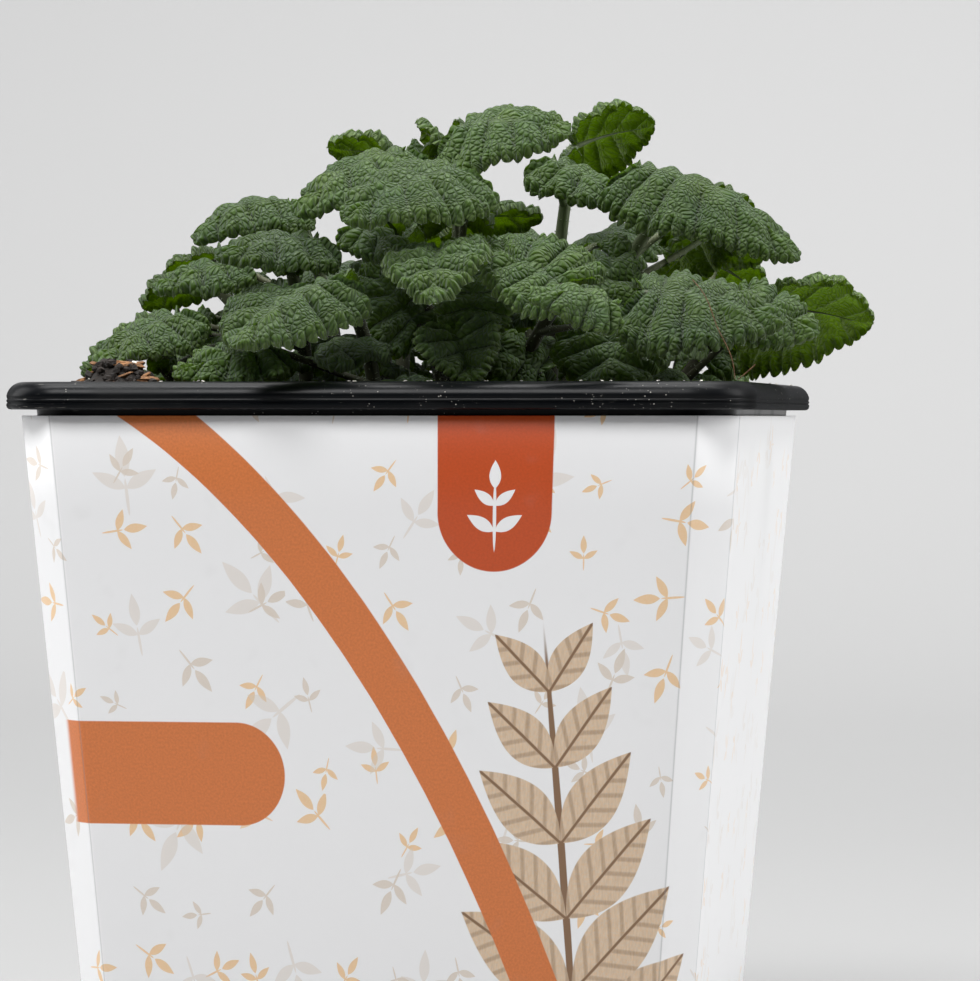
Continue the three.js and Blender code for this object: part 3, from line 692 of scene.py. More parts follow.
def small_sprigs(shader, x, y, spacing, pick):
    """A small sprig of a stalk and three leaves in each cell of a scattered pattern, turned
    and sized at random, where the cell's random number is above pick. Gives its mask and that
    number."""
    scaled = shader.join(x / spacing, y / spacing)
    inputs = {"Vector": scaled, "Scale": 1.0, "Randomness": 0.55}
    node = shader.node("ShaderNodeTexVoronoi", {"voronoi_dimensions": "2D"}, inputs, None)
    spot = Value(shader, node.outputs["Position"])
    turn, size, kind = shader.split(Value(shader, node.outputs["Color"]))
    local = shader.node("ShaderNodeVectorMath", {"operation": "SUBTRACT"}, [scaled, spot])
    lx, ly, _ = shader.split(local)
    angle = turn * 6.283
    sine, cosine = angle.math("SINE"), angle.math("COSINE")
    scale = 0.75 + size * 0.6
    u = abs(lx * cosine + ly * sine) / scale
    w = (ly * cosine - lx * sine) / scale
    mask = leaf_shape(shader, u, w, (0, 0.02), 0.3, 90)
    mask = mask | leaf_shape(shader, u, w, (0, -0.06), 0.27, 28)
    mask = mask | ellipse(shader, u, w, (0, -0.12), 0.13, 0.012, 90)
    return mask * shader.fade(kind, pick, pick + 0.01), kind


# The print's shapes, in millimetres on the unrolled board: across from the front's middle
# and up from the base.
TAB = {"centre": 20.0, "half": 9.2, "round": 99.5}
BANNER = {"start": -75.0, "end": -24.0, "centre": 58.0, "half": 8.2, "cut": -56.0}
# The ribbon falls ever more steeply, along a parabola from its highest point.
RIBBON = {"half": 3.9, "from": -62, "height": 128, "slope": 0.18, "bend": 0.0105,
          "left": -50, "right": 50.9}
SPRIG = {"foot": (38.0, 4.0), "lean": 97.0, "pairs": 6}
AGED_WHITE, FOLD_GREY, SCUFF_GREY = (0.7, 0.7, 0.7), (0.25, 0.25, 0.26), (0.45, 0.44, 0.42)


def board_material(settings):
    """White coated board with its print: small sprigs, a tab, a banner, a ribbon and one
    large sprig, all with a fine printed grain, and a thin dark line at each fold."""
    shader = Shader("printed board")
    place = shader.object_place()
    x, y = shader.flat_place()
    grain = shader.noise(shader.join(x, y), 2.6, 1)
    colour = shader.mix(shader.noise(place, 25, 0) * 0.05, settings.board, AGED_WHITE)
    front = 1 - shader.fade(abs(x), NEAR + 6, NEAR + 14)
    strength = 0.35 + front * 0.65

    mask, kind = small_sprigs(shader, x, y, 11.5, 0.12)
    ink = shader.mix(shader.fade(kind, 0.62, 0.64), settings.peach, settings.tan)
    colour = shader.mix(mask * strength * (0.8 + grain * 0.2), colour, ink)
    mask, kind = small_sprigs(shader, x + 40, y + 17, 19.0, 0.35)
    colour = shader.mix(mask * strength * 0.5, colour, settings.tan)
    colour = large_sprig(shader, settings, colour, x, y, grain)

    orange = shader.mix(grain, shade(settings.orange, 0.82), shade(settings.orange, 1.15))
    run, slope, bend = x - RIBBON["from"], RIBBON["slope"], RIBBON["bend"]
    line = RIBBON["height"] - run * slope - run * run * bend
    steep = (1 + (slope + run * (2 * bend)) ** 2).math("SQRT")
    ribbon = shader.inside(abs(y - line) / steep, RIBBON["half"])
    begun = shader.fade(x, RIBBON["left"], RIBBON["left"] + 0.1)
    ended = shader.fade(x, RIBBON["right"], RIBBON["right"] + 0.1)
    colour = shader.mix(ribbon * begun * (1 - ended), colour, orange)

    middle, reach = (BANNER["start"] + BANNER["end"]) / 2, (BANNER["end"] - BANNER["start"]) / 2
    over = (abs(x - middle) - reach) | 0.0
    gap = (over * over + (y - BANNER["centre"]) ** 2).math("SQRT")
    banner = shader.inside(gap, BANNER["half"])
    begun = shader.fade(x, BANNER["cut"], BANNER["cut"] + 1.5)
    colour = shader.mix(banner * begun, colour, orange)

    rust = shader.mix(grain, shade(settings.rust, 0.85), shade(settings.rust, 1.12))
    drop = (TAB["round"] - y) | 0.0
    tab = ((x - TAB["centre"]) ** 2 + drop * drop).math("SQRT")
    colour = shader.mix(shader.inside(tab, TAB["half"]), colour, rust)
    colour = shader.mix(tab_sprig(shader, x, y), colour, settings.board)

    fold = 0.0
    for spot in FOLD_PLACES:
        fold = (1 - shader.fade(abs(abs(x) - spot), 0.06, 0.22)) | fold
    colour = shader.mix(fold * 0.35, colour, FOLD_GREY)
    scuff = shader.fade(shader.noise(place, 140, 2), 0.62, 0.8)
    relief = shader.noise(place, 700, 1) * 0.5 - fold
    return shader.done(
        Base_Color=shader.mix(scuff * 0.06, colour, SCUFF_GREY),
        Roughness=0.36 + scuff * 0.2 + grain * 0.06, Specular_IOR_Level=0.5,
        Coat_Weight=0.15, Coat_Roughness=0.25, Normal=shader.bump(relief, 0.00005, 0.35))


def tab_sprig(shader, x, y):
    """The tab's plain white sprig, the same on both sides of its middle: an upright stalk with
    a leaf at its top and two pairs."""
    low = TAB["round"] - 5.5
    aside = abs(x - TAB["centre"])
    mask = ellipse(shader, aside, y, (0, low + 5), 5.5, 0.28, 90)
    mask = mask | leaf_shape(shader, aside, y, (0, low + 9.2), 4.6, 90, 0.42)
    for rise, length, lean in ((6.6, 4.2, 38), (2.6, 5.2, 30)):
        mask = mask | leaf_shape(shader, aside, y, (0, low + rise), length, lean, 0.4)
    return mask


def large_sprig(shader, settings, colour, x, y, grain):
    """A large herb sprig in browns, the same on both sides of its leaning stalk: pairs of
    leaves that get smaller upwards, each darker along its middle and its side veins."""
    upwards, aside = turned(x, y, SPRIG["foot"], SPRIG["lean"])
    aside = abs(aside)
    pale = shader.mix(grain, settings.tan, settings.peach)
    fibre = shader.noise(shader.join(x * 2.4, y * 0.5), 1.4, 1) * 0.35
    stalk = ellipse(shader, upwards, aside, (36, 0), 40, 0.65, 0, 0.2)
    colour = shader.mix(stalk, colour, settings.brown)
    for step in range(SPRIG["pairs"]):
        rise, length, angle = 8 + 12 * step, 27 - 2.8 * step, 54 - 3 * step
        along, across = turned(upwards, aside, (rise, 0), angle)
        across = abs(across)
        leaf = leaf_shape(shader, along, across, (0, 0), length, 0, 0.46, 0.05)
        vein = 1 - shader.fade(across, 0.12, 0.4)
        ribs = shader.fade(((along - across * 0.8) * 2.1).math("SINE"), 0.2, 1.0)
        ink = shader.mix(vein | (ribs * 0.35 + fibre), pale, settings.brown)
        colour = shader.mix(leaf, colour, ink)
    return colour


# ---- Soil ------------------------------------------------------------------------------
def soil_height(x, y):
    """The solids' soil surface: two long waves multiplied, and a shorter one across them."""
    long_wave = np.sin(0.11 * x + 0.6) * np.cos(0.13 * y - 0.4)
    return SOIL_LEVEL + SOIL_LUMP * long_wave + 0.5 * SOIL_LUMP * np.sin(0.31 * x - 0.17 * y)


SOIL_POINTS = 116               # along each side of the soil's grid
CRUMB_SEED = 21
BARK_BELOW, WHITE_ABOVE = 0.24, 0.93    # which crumbs are chips of bark and white grains
HEAPED = 0.13                   # share of the crumbs that lie on the heap
MOUND = {"x": -43.0, "y": -46.5, "height": 6.4, "across": 9.0, "deep": 7.0}
# A loose fibre and a straw: their ends, how far they sway, and their radius.
LITTER = [
    ((49.9, -51, 135.8), (57, -55.5, 120.3), 1.0, 0.07),
    ((57.4, -55.4, 120.2), (60.2, -55.8, 122.6), 0.3, 0.08),
]
FLAKES = 26                     # on the rim


def soil_top(x, y):
    """The soil's surface with its lumps: the solids' surface, noise at three sizes, and a
    heap near one corner, a bell curve that runs out at the wall."""
    rough = 0.55 * lumps(x, y, 5.0, 11) + 0.4 * lumps(x, y, 2.3, 12) + 0.25 * lumps(x, y, 1.1, 13)
    away = ((x - MOUND["x"]) / MOUND["across"]) ** 2 + ((y - MOUND["y"]) / MOUND["deep"]) ** 2
    return soil_height(x, y) + rough + MOUND["height"] * np.exp(-away)


def into_rounded_square(x, y):
    """Squeezes points of the square from -1 to 1 into the same square with round corners."""
    straight = 1 - (WALL_CORNER + 2) / WALL_HALF
    over_x, over_y = np.maximum(abs(x) - straight, 0), np.maximum(abs(y) - straight, 0)
    reach = np.hypot(over_x, over_y)
    squeeze = np.divide(np.maximum(over_x, over_y), reach, out=np.ones_like(reach), where=reach > 0)
    return (np.sign(x) * (abs(x) - over_x + over_x * squeeze),
            np.sign(y) * (abs(y) - over_y + over_y * squeeze))


def make_soil(settings):
    """The soil: a closed block from a grid of its lumpy top and the same grid on the pot's
    floor, narrowed with the wall."""
    run = np.linspace(-1, 1, SOIL_POINTS)
    x, y = into_rounded_square(*np.meshgrid(run, run))
    floor = FLOOR_THICKNESS + FIT_GAP
    top_half = wall_half(SOIL_LEVEL) - WALL_THICKNESS - FIT_GAP
    low_half = wall_half(floor) - WALL_THICKNESS - FIT_GAP
    top = np.stack([x * top_half, y * top_half, soil_top(x * top_half, y * top_half)], axis=-1)
    low = np.stack([x * low_half, y * low_half, np.full_like(x, floor)], axis=-1)
    shell = Shell()
    shell.sheet(top, low)
    shell.finish("potting_soil", [peat_material(settings)], "soil", ["soil"], crease=75)


def chip_shapes(shell, rng, spots, sizes, stretch, paints):
    """Adds small lumps: a low sphere with its points moved in and out at random, stretched
    along one level axis and flattened, then tilted and turned."""
    rings, poles = sphere_rings(3, 6)
    count, base = len(spots), np.concatenate([rings.reshape(-1, 3), poles])
    template = Shell()
    template.tube(rings, poles)
    points = base[None] * rng.uniform(0.7, 1.2, (count, len(base), 1)) * stretch[:, None]
    tilt, turn = rng.uniform(-0.5, 0.5, count), rng.uniform(0, 2 * math.pi, count)
    x, y, z = np.moveaxis(points, -1, 0)
    c, s = np.cos(tilt)[:, None], np.sin(tilt)[:, None]
    x, z = x * c + z * s, z * c - x * s
    c, s = np.cos(turn)[:, None], np.sin(turn)[:, None]
    points = np.stack([x * c - y * s, x * s + y * c, z], axis=-1)
    shell.copies(points * sizes[:, None, None] + spots[:, None], template.faces, paints)


def make_crumbs(settings):
    """Loose crumbs, bark chips and white grains, scattered over the soil by a seeded draw,
    thicker on the heap."""
    rng = np.random.default_rng(CRUMB_SEED)
    count = settings.crumbs
    half = wall_half(SOIL_LEVEL) - WALL_THICKNESS - 2.5
    x, y = rng.uniform(-half, half, count), rng.uniform(-half, half, count)
    heap = rng.uniform(0, 1, count) < HEAPED
    x = np.where(heap, MOUND["x"] + rng.normal(0, 5.5, count), x)
    y = np.where(heap, MOUND["y"] + rng.normal(0, 3.6, count), y)
    x, y = np.clip(x, -half, half), np.clip(y, -half, half)
    kind = rng.uniform(0, 1, count)
    bark, white = kind < BARK_BELOW, kind > WHITE_ABOVE
    size = rng.uniform(0.35, 1.15, count) ** 1.3
    size = np.where(bark, size * 1.15, np.where(white, size * 0.8, size))
    stretch = np.where(bark[:, None], [2.1, 0.8, 0.4], [1.0, 0.9, 0.8])
    z = soil_top(x, y) + size * np.where(bark, 0.35, 0.5)
    peat, wood, grain = map(np.array, (settings.peat, settings.bark, settings.perlite))
    tint = np.where(bark[:, None], wood, np.where(white[:, None], grain, peat * 1.3))
    tint = tint * rng.uniform(0.55, 1.35, (count, 1))
    paints = np.column_stack([np.clip(tint, 0, 1), np.ones(count)])
    shell = Shell()
    chip_shapes(shell, rng, np.stack([x, y, z], axis=-1), size, stretch, paints)
    add_litter(shell, rng, wood, grain)
    shell.finish("soil_crumbs", [crumb_material()], "soil", crease=30)


def add_litter(shell, rng, wood, grain):
    """Adds what has fallen on the plant and the rim: a fine fibre that hangs over the rim, a
    straw beside it, and white flakes along the rim's front and right side."""
    for start, end, sway, radius in LITTER:
        t = np.linspace(0, 1, 24)[:, None]
        bow = np.sin(math.pi * t) * [0.9, -0.5, 0.4] + np.sin(3 * math.pi * t) * [0.25, 0, 0.15]
        path = np.array(start) * (1 - t) + np.array(end) * t + sway * bow
        paint = (*(wood * 0.6), 1.0)
        add_rod(shell, path, radius, circle(6), np.array([0, 1.0, 0.2]), paint, 0)
    run, off = rng.uniform(-40, 52, FLAKES), rng.uniform(55.9, 57.4, FLAKES)
    front = rng.uniform(0, 1, FLAKES) < 0.75
    x, y = np.where(front, run, off), np.where(front, -off, run)
    spots = np.column_stack([x, y, np.full(FLAKES, POT_HEIGHT + 0.06)])
    paints = np.tile([*grain, 1.0], (FLAKES, 1))
    sizes = rng.uniform(0.12, 0.34, FLAKES)
    chip_shapes(shell, rng, spots, sizes, np.tile([1.3, 1.0, 0.3], (FLAKES, 1)), paints)


def peat_material(settings):
    """Damp peat: dark brown broken up by noise at two sizes, with a rough relief."""
    shader = Shader("peat")
    place = shader.object_place()
    broad = shader.noise(place, 140, 3, 0.6)
    fine = shader.noise(place, 900, 2, 0.6)
    dark = shade(settings.peat, 0.5)
    colour = shader.mix(shader.fade(broad, 0.35, 0.75), dark, settings.peat)
    colour = shader.mix(shader.fade(fine, 0.62, 0.75) * 0.35, colour, settings.bark)
    relief = broad * 0.6 + fine * 0.5
    return shader.done(
        Base_Color=colour, Roughness=0.85 + fine * 0.15, Normal=shader.bump(relief, 0.0006))


def crumb_material():
    """Crumbs in their own painted colours, with a fibrous streak along them."""
    shader = Shader("crumbs")
    red, green, blue, _ = shader.paint()
    fibre = shader.noise(shader.object_place(), 1600, 1, 0.6)
    own = shader.join(red, green, blue)
    inputs = {"Vector": own, "Scale": 0.5}
    dark = shader.node("ShaderNodeVectorMath", {"operation": "SCALE"}, inputs)
    return shader.done(
        Base_Color=shader.mix(shader.fade(fibre, 0.3, 0.7), dark, own),
        Roughness=0.8 + fibre * 0.15, Normal=shader.bump(fibre, 0.0002))


# ---- Blades ----------------------------------------------------------------------------
@dataclass
class Blade:
    """A leaf: where its blade meets the stalk, its tip, the way its upper side looks, its
    width as a share of its length, how far its halves drop from the midrib and how far it
    arches (degrees), its teeth on each side, a phase for its waves, and where along the stem
    its stalk grows."""

    base: np.ndarray
    tip: np.ndarray
    face: np.ndarray
    width: float
    fold: float
    arch: float
    teeth: int
    phase: float = 0.0
    at: float = 0.0
    large: bool = False


def blade_frame(blade):
    """Length from base to tip, and the directions ahead, up and left."""
    run = blade.tip - blade.base
    chord = math.sqrt(run @ run)
    forward = run / chord
    up = blade.face - forward * (blade.face @ forward)
    up = up / math.sqrt(up @ up)
    return chord, forward, up, np.cross(up, forward)


def outline_point(width, v):
    """The flat outline: two lobes that reach back past the stalk, and a blunt tip. An ellipse
    whose middle is moved ahead, narrowed towards the tip, with a cleft at the stalk."""
    angle = math.pi * (1 - v)
    cleft = 0.28 * np.exp(-(((math.pi - angle) / 0.33) ** 2))
    x = 0.36 + 0.64 * np.cos(angle) + cleft
    return x, 0.475 * width * np.sin(angle) * (1 - 0.36 * np.cos(angle))


def blade_points(blade, side, share, v, lift, teeth=None):
    """Points of the blade, moved off its middle surface by lift. v runs from base to tip
    along the edge, share from the midrib to the edge, side is 1 or -1. The flat place is on
    the line from the midrib to the outline. It is bent round an arc from base to tip, then
    each half drops along an arc of its own, and the edge is waved by a sine."""
    chord, forward, up, left = blade_frame(blade)
    outline_x, outline_y = outline_point(blade.width, v)
    rib = v**1.8
    notch = 1 - np.abs(np.sin(math.pi * (teeth or blade.teeth) * v)) ** 0.7
    reach = share * (1 - TOOTH_DEPTH * notch * share * share)
    flat_x = rib + reach * (outline_x - rib)
    flat_y = reach * outline_y * chord
    arch, fold = math.radians(blade.arch), math.radians(blade.fold)
    turn = arch * (0.5 - flat_x)
    radius = chord / (2 * math.sin(arch / 2))
    ahead = radius * (math.sin(arch / 2) - np.sin(turn))
    rise = radius * (np.cos(turn) - math.cos(arch / 2))
    bend = CURL / (0.5 * blade.width * chord)
    slope = fold + bend * flat_y
    aside = (np.sin(slope) - math.sin(fold)) / bend
    wave = RIPPLE * reach * reach * np.sin(math.pi * v)
    wave = wave * np.sin(5 * math.pi * v + blade.phase + side)
    drop = (math.cos(fold) - np.cos(slope)) / bend - wave
    tilt = np.where(share == 0, 0, slope)
    raised = lift * np.cos(tilt) - drop
    along, above = ahead - np.sin(turn) * raised, rise + np.cos(turn) * raised
    beside = side * (aside + lift * np.sin(tilt))
    steps = zip((along, above, beside), (forward, up, left))
    points = blade.base + sum(amount[..., None] * way for amount, way in steps)
    return points, flat_x * chord, side * flat_y


def bezier(controls, t):
    """Points of a Bezier curve of any degree."""
    t = np.asarray(t, float)[..., None]
    last = len(controls) - 1
    return sum(math.comb(last, k) * (1 - t) ** (last - k) * t**k * control
               for k, control in enumerate(controls))


@dataclass
class Stem:
    """A leafy stem: its number, its curve, how many leaves may grow freely on it, the side
    they look to and how far they spread (degrees), its leaves, the two at its top, and the
    small young ones."""

    number: int
    curve: list
    extra: int
    facing: float
    spread: float
    leaves: list
    tips: list = None
    young: list = None


def stalk_curve(stem, blade):
    """A stalk leaves the stem below its blade, bows upwards and runs on under the midrib."""
    _, forward, _, _ = blade_frame(blade)
    start = bezier(stem.curve, blade.at)
    end = blade.base + forward * STALK_SUNK
    span = math.sqrt((end - start) @ (end - start))
    elbow = blade.base - forward * 0.45 * span + [0, 0, 0.12 * span]
    return [start, elbow, end]


# ---- The plant -------------------------------------------------------------------------
# The same plan and the same rules as the solids follow, so that each fine leaf is where its
# solid is. Heights are above the rim. Each stem has its root, its top, how many leaves may
# grow freely, the side they look to and their spread, and its planned leaves: where on the
# stem, base, tip, the way the upper side looks, width, fold, arch, teeth, and L for a large
# leaf or S for a small one.
PLAN = [
    ((6, -12), (9, -21, 39), 0, 60, 90, [
        (0.95, (9, -25, 42), (28, -31, 40), (1, -6, 8), 1.15, 14, 45, 5, "L"),
        (0.9, (0, -24, 38), (-17, -34, 27), (-2, -5, 8), 1, 16, 60, 5, "L"),
        (0.72, (11.5, -34.5, 34), (-4.5, -50, 25), (-3, -8, 5), 0.95, 10, 45, 5, "L"),
        (0.6, (6, -11.5, 27.5), (20, -5, 28), (0, 5, 8), 0.9, 10, 30, 4, "S")]),
    ((-6, 6), (-2, 6, 38), 3, 110, 110, [
        (0.85, (-6, 7, 38.5), (-20, 13, 41), (0, 7, 7), 1, 10, 30, 4, "S"),
        (0.97, (2, 5, 40), (-4, 12, 45), (-2, 7, 6), 0.9, 10, 20, 4, "S")]),
    ((-14, -6), (-21, -6, 27), 2, 60, 60, [
        (0.95, (-22, -11.5, 30.5), (-36, -21.5, 23), (-1, -3, 10), 1, 22, 80, 4, "L"),
        (0.9, (-24.5, 2, 27), (-33, 10, 27.5), (2, 5, 6), 0.9, 10, 30, 4, "S")]),
    ((-24, -8), (-36, -8, 17), 2, 120, 60, [
        (0.97, (-36, -1.5, 22), (-50, 0.5, 13), (-6, 5, 6), 1, 8, 30, 4, "L"),
        (0.7, (-46, -11, 10.5), (-57, -14.5, 1.5), (-7, 3, 6), 0.95, 10, 30, 4, "L"),
        (0.8, (-38, -16, 15), (-49, -20, 8), (-5, -3, 6), 0.95, 10, 30, 4, "L")]),
    ((-17, -21), (-18, -30, 19), 0, 90, 60, [
        (0.97, (-13.5, -30.5, 23.5), (-28, -42, 20), (-2, -6, 8), 0.9, 14, 35, 4, "L"),
        (0.85, (-28.5, -23, 20), (-41, -30, 15), (-3, -5, 8), 1, 14, 40, 4, "L"),
        (0.7, (-16.5, -39, 17), (-23, -53, 7), (-2, -9, 4), 1.05, 10, 30, 4, "L"),
        (0.6, (-33, -31, 13), (-45, -41, 4), (-4, -6, 6), 1, 12, 30, 4, "L")]),
    ((-4, -29), (-6, -44, 14), 0, 90, 60, [
        (0.95, (-6.5, -51, 16.5), (-20, -64, 5.5), (-4, -6, 7), 0.95, 30, 25, 5, "L"),
        (0.45, (-18, -46, 6), (-34, -49, 1), (-3, -7, 6), 0.85, 12, 30, 4, "L"),
        (0.6, (-23, -39, 12), (-38, -42, 6), (-3, -6, 7), 0.85, 20, 30, 4, "L")]),
    ((6, -24), (3, -35, 21), 0, 90, 60, [
        (0.2, (11.5, -46, 8), (15.5, -51, -0.5), (0, -7, 7), 1.4, -26, 20, 4, "L"),
        (0.35, (13.5, -41, 10), (13.5, -36, 24), (0, -10, 2), 0.95, 6, 20, 5, "L"),
        (0.3, (3.5, -37, 9), (-6, -35, 20), (1, -9, 3), 1.1, -4, 14, 5, "L"),
        (0.95, (-6, -42, 25), (5, -47, 19), (3, -7, 6), 0.75, 22, 40, 4, "L"),
        (0.9, (9.5, -43, 24), (11, -57, 15), (0, -9, 4), 1.1, -8, 40, 5, "L")]),
    ((18, -27), (29, -43, 14), 0, 90, 60, [
        (0.95, (29.5, -51, 18), (15, -43, 25), (1, -6, 7), 1.1, -8, 20, 5, "L"),
        (0.8, (38.5, -52, 12), (25, -56, 13), (2, -6, 8), 0.9, 26, 60, 4, "S"),
        (0.25, (24, -33, 1.5), (14, -38, 7.5), (0, -8, 5), 1, 6, 20, 4, "S")]),
    ((31, -24), (41, -37, 11), 0, 90, 60, [
        (0.5, (32, -42, 10), (34, -50, -3.5), (0, -8, 6), 1.35, 8, 30, 5, "L"),
        (0.95, (41, -44, 14.5), (64, -44, 9.5), (1, -6, 8), 1.05, 14, 35, 5, "L"),
        (0.8, (56, -29.5, 13), (68, -28, 8), (3, -8, 5), 1.15, 8, 20, 4, "S")]),
    ((27, -8), (40, -9, 28), 2, 60, 60, [
        (0.95, (37, -12, 36), (64, -17, 20), (2, -4, 9), 0.8, 26, 50, 6, "L"),
        (0.85, (43.5, 6, 30), (55, 14, 21), (-1, 8, 5), 1.15, 8, 20, 4, "L"),
        (0.75, (48, -1, 27), (38, -4.5, 17), (-2, 5, 7), 1.1, 10, 20, 4, "S"),
        (0.3, (32, -19, 13.5), (33.5, -12, 25), (-1, -9, 2), 1, 10, 20, 4, "S")]),
    ((20, 3), (23, 6, 36), 2, 90, 100, [
        (0.97, (22, 15, 41), (35, 26, 45), (0, 8, 5), 1.1, 10, 30, 5, "L"),
        (0.9, (22, -1, 38), (36, -10, 29.5), (2, -4, 8), 0.85, 24, 30, 4, "L")]),
    ((40, 4), (49, 4, 8), 2, 60, 60, [
        (0.6, (56, -3, 9.5), (74, 8, 7), (3, 8, 5), 1.3, 10, 40, 5, "L"),
        (0.8, (46, 16, 23), (54, 24.5, 17), (2, 8, 4), 1, 8, 20, 4, "S")]),
    ((-9, 26), (-15, 33, 24), 5, 90, 180, []),
    ((18, 28), (23, 35, 22), 5, 80, 180, []),
    ((-30, 18), (-37, 24, 16), 6, 150, 180, []),
    ((38, 30), (43, 36, 14), 6, 40, 180, []),
    ((3, 42), (5, 47, 15), 6, 90, 180, []),
    ((-6, -8), (-7, -10, 16), 6, 200, 180, []),
    ((16, 14), (14, 16, 15), 5, 30, 180, []),
    ((-36, -30), (-39, -32, 3), 3, 60, 180, []),
]
DRAWS = 200                     # tries for each stem
DRAW_SEED, YOUNG_SEED = 7, 41
YOUNG_COUNT = 4                 # young leaves for each stem, at most
BLADE_MARK, MIXED = 100, -1     # what the cells of a Room hold
DOME = {"x": 8, "height": 42, "across": 63, "deep": 92, "skew": 0.15, "power": 2.6}
# How leaves grow by chance: the lowest share of the stem and the range above it, the steepest
# pitch (degrees), the longest blade and how much shorter the last is, and the shortest stalk
# and the range above it.
GROWN = {"stem": (0.2, 0.75), "pitch": 25, "blade": (24, 11), "stalk": (5, 10)}
YOUNG = {"stem": (0.15, 0.7), "pitch": 30, "blade": (15, 6), "stalk": (3, 7)}


def above_rim(spot):
    """A place given by its height above the rim, as a place in the frame."""
    return np.array(spot, float) + [0, 0, POT_HEIGHT]


def under_dome(points):
    """Whether points lie under a dome over the crown, a superellipse as seen from above that
    leans to the left towards its back."""
    across = np.abs(points[:, 0] + DOME["skew"] * points[:, 1] - DOME["x"]) / DOME["across"]
    deep = np.abs(points[:, 1]) / DOME["deep"]
    out = (across ** DOME["power"] + deep ** DOME["power"]) ** (1 / DOME["power"])
    return points[:, 2] < POT_HEIGHT + 1 + DOME["height"] * (1 - out * out)


def clear_of_pot(points):
    """Whether points are above the soil inside the rim's opening, and over or beyond the rim
    outside it."""
    reach = np.maximum(np.abs(points[:, 0]), np.abs(points[:, 1]))
    opening = wall_half(NECK_LEVEL) - WALL_THICKNESS - RIM_GAP
    over_soil = points[:, 2] > soil_height(points[:, 0], points[:, 1]) + RIM_GAP
    over_rim = (points[:, 2] > POT_HEIGHT + RIM_GAP) | (reach > RIM_HALF + RIM_GAP)
    return np.where(reach < opening, over_soil, over_rim)


class Room:
    """Space kept in cells. A cell holds 0, the number of the stem whose wood is in or next to
    it, a blade's number, which is that number plus BLADE_MARK, or MIXED for both."""

    def __init__(self):
        self.marks = np.zeros((240, 240, 200), np.int16)

    def cells(self, points):
        """The cell that each point is in, as three arrays."""
        cell = np.floor(points / CLEAR_CELL).astype(int) + [120, 120, 0]
        return cell[:, 0], cell[:, 1], cell[:, 2]

    def marks_at(self, points):
        """What the cells hold at some points."""
        return self.marks[self.cells(points)]

    def claim(self, points, mark):
        """Marks the cells of some points and those around them."""
        x, y, z = self.cells(points)
        for dx in (-1, 0, 1):
            for dy in (-1, 0, 1):
                for dz in (-1, 0, 1):
                    spot = (x + dx, y + dy, z + dz)
                    held = self.marks[spot]
                    self.marks[spot] = np.where((held == 0) | (held == mark), mark, MIXED)


def blade_samples(blade):
    """Places over a blade's middle surface, in rows 0.8 mm apart with 21 columns."""
    rows = math.ceil(blade_frame(blade)[0] / 0.8)
    column = np.arange(-10, 11)[None]
    v = (np.arange(rows + 1) / rows)[:, None]
    side = np.where(column < 0, -1, 1)
    v, share, side = np.broadcast_arrays(v, np.abs(column) / 10, side)
    return blade_points(blade, side, share, v, np.zeros_like(v))[0].reshape(-1, 3)


def curve_samples(curve, first, last, steps):
    """Places along part of a curve."""
    return bezier(curve, first + (last - first) * np.arange(steps + 1) / steps)


def make_shifts():
    """Moves to try for a blade that is in the way of another, the smallest first."""
    moves = [(x, y, z) for y in (0, 2, -2, 4, -4, 6, -6) for z in (0, 1.5, -1.5, 3, -3, 4.5)
             for x in (0, 1.5, -1.5, 3, -3)]
    costs = [0.5 * abs(y) + abs(z) + abs(x) for x, y, z in moves]
    order = sorted(range(len(moves)), key=costs.__getitem__)
    return [(np.array(moves[i], float), costs[i]) for i in order]


def place_leaf(room, shifts, stem, planned, reach, under):
    """The leaf in its first free spot within a reach, which it then claims, or None."""
    samples = blade_samples(planned)
    for move, cost in shifts:
        if cost > reach:
            break
        points = samples + move
        held = room.marks_at(points)
        free = clear_of_pot(points) & ((held == 0) | (held == stem.number))
        if not free.all() or (under and not under_dome(points).all()):
            continue
        leaf = replace(planned, base=planned.base + move, tip=planned.tip + move)
        stalk = curve_samples(stalk_curve(stem, leaf), 0.2, 0.9, 12)
        held = room.marks_at(stalk)
        if (clear_of_pot(stalk) & ((held == 0) | (held % BLADE_MARK == stem.number))).all():
            room.claim(points, stem.number + BLADE_MARK)
            room.claim(stalk, stem.number)
            return leaf
    return None


def free_leaf(stem, at, heading, pitch, length, stalk, phase):
    """A leaf held out from the stem on a stalk, looking up and a little outwards."""
    out = np.array([math.cos(heading), math.sin(heading), 0])
    base = bezier(stem.curve, at) + out * stalk + [0, 0, 0.4 * stalk]
    tip = base + out * length * math.cos(pitch) + [0, 0, length * math.sin(pitch)]
    face = unit(np.array([0, 0, 1.0]) + 0.3 * out)
    return Blade(base, tip, face, 1, 12, 50, 4, phase, at)


def grow(room, draw, stem, count, facing, spread, rule):
    """Up to count leaves drawn at random on one side of a stem, the largest first. Those that
    find room under the dome are kept."""
    grown = []
    for turn in range(DRAWS):
        at, heading, pitch, stalk, phase = (next(draw) for _ in range(5))
        if len(grown) >= count:
            continue
        planned = free_leaf(
            stem, rule["stem"][0] + rule["stem"][1] * at,
            math.radians(facing + spread * (2 * heading - 1)),
            math.radians(rule["pitch"] * (1 - 2 * pitch)),
            rule["blade"][0] - rule["blade"][1] * turn / DRAWS,
            rule["stalk"][0] + rule["stalk"][1] * stalk, 6 * phase)
        leaf = place_leaf(room, [(np.zeros(3), 0)], stem, planned, 0, True)
        if leaf:
            grown.append(leaf)
    return grown


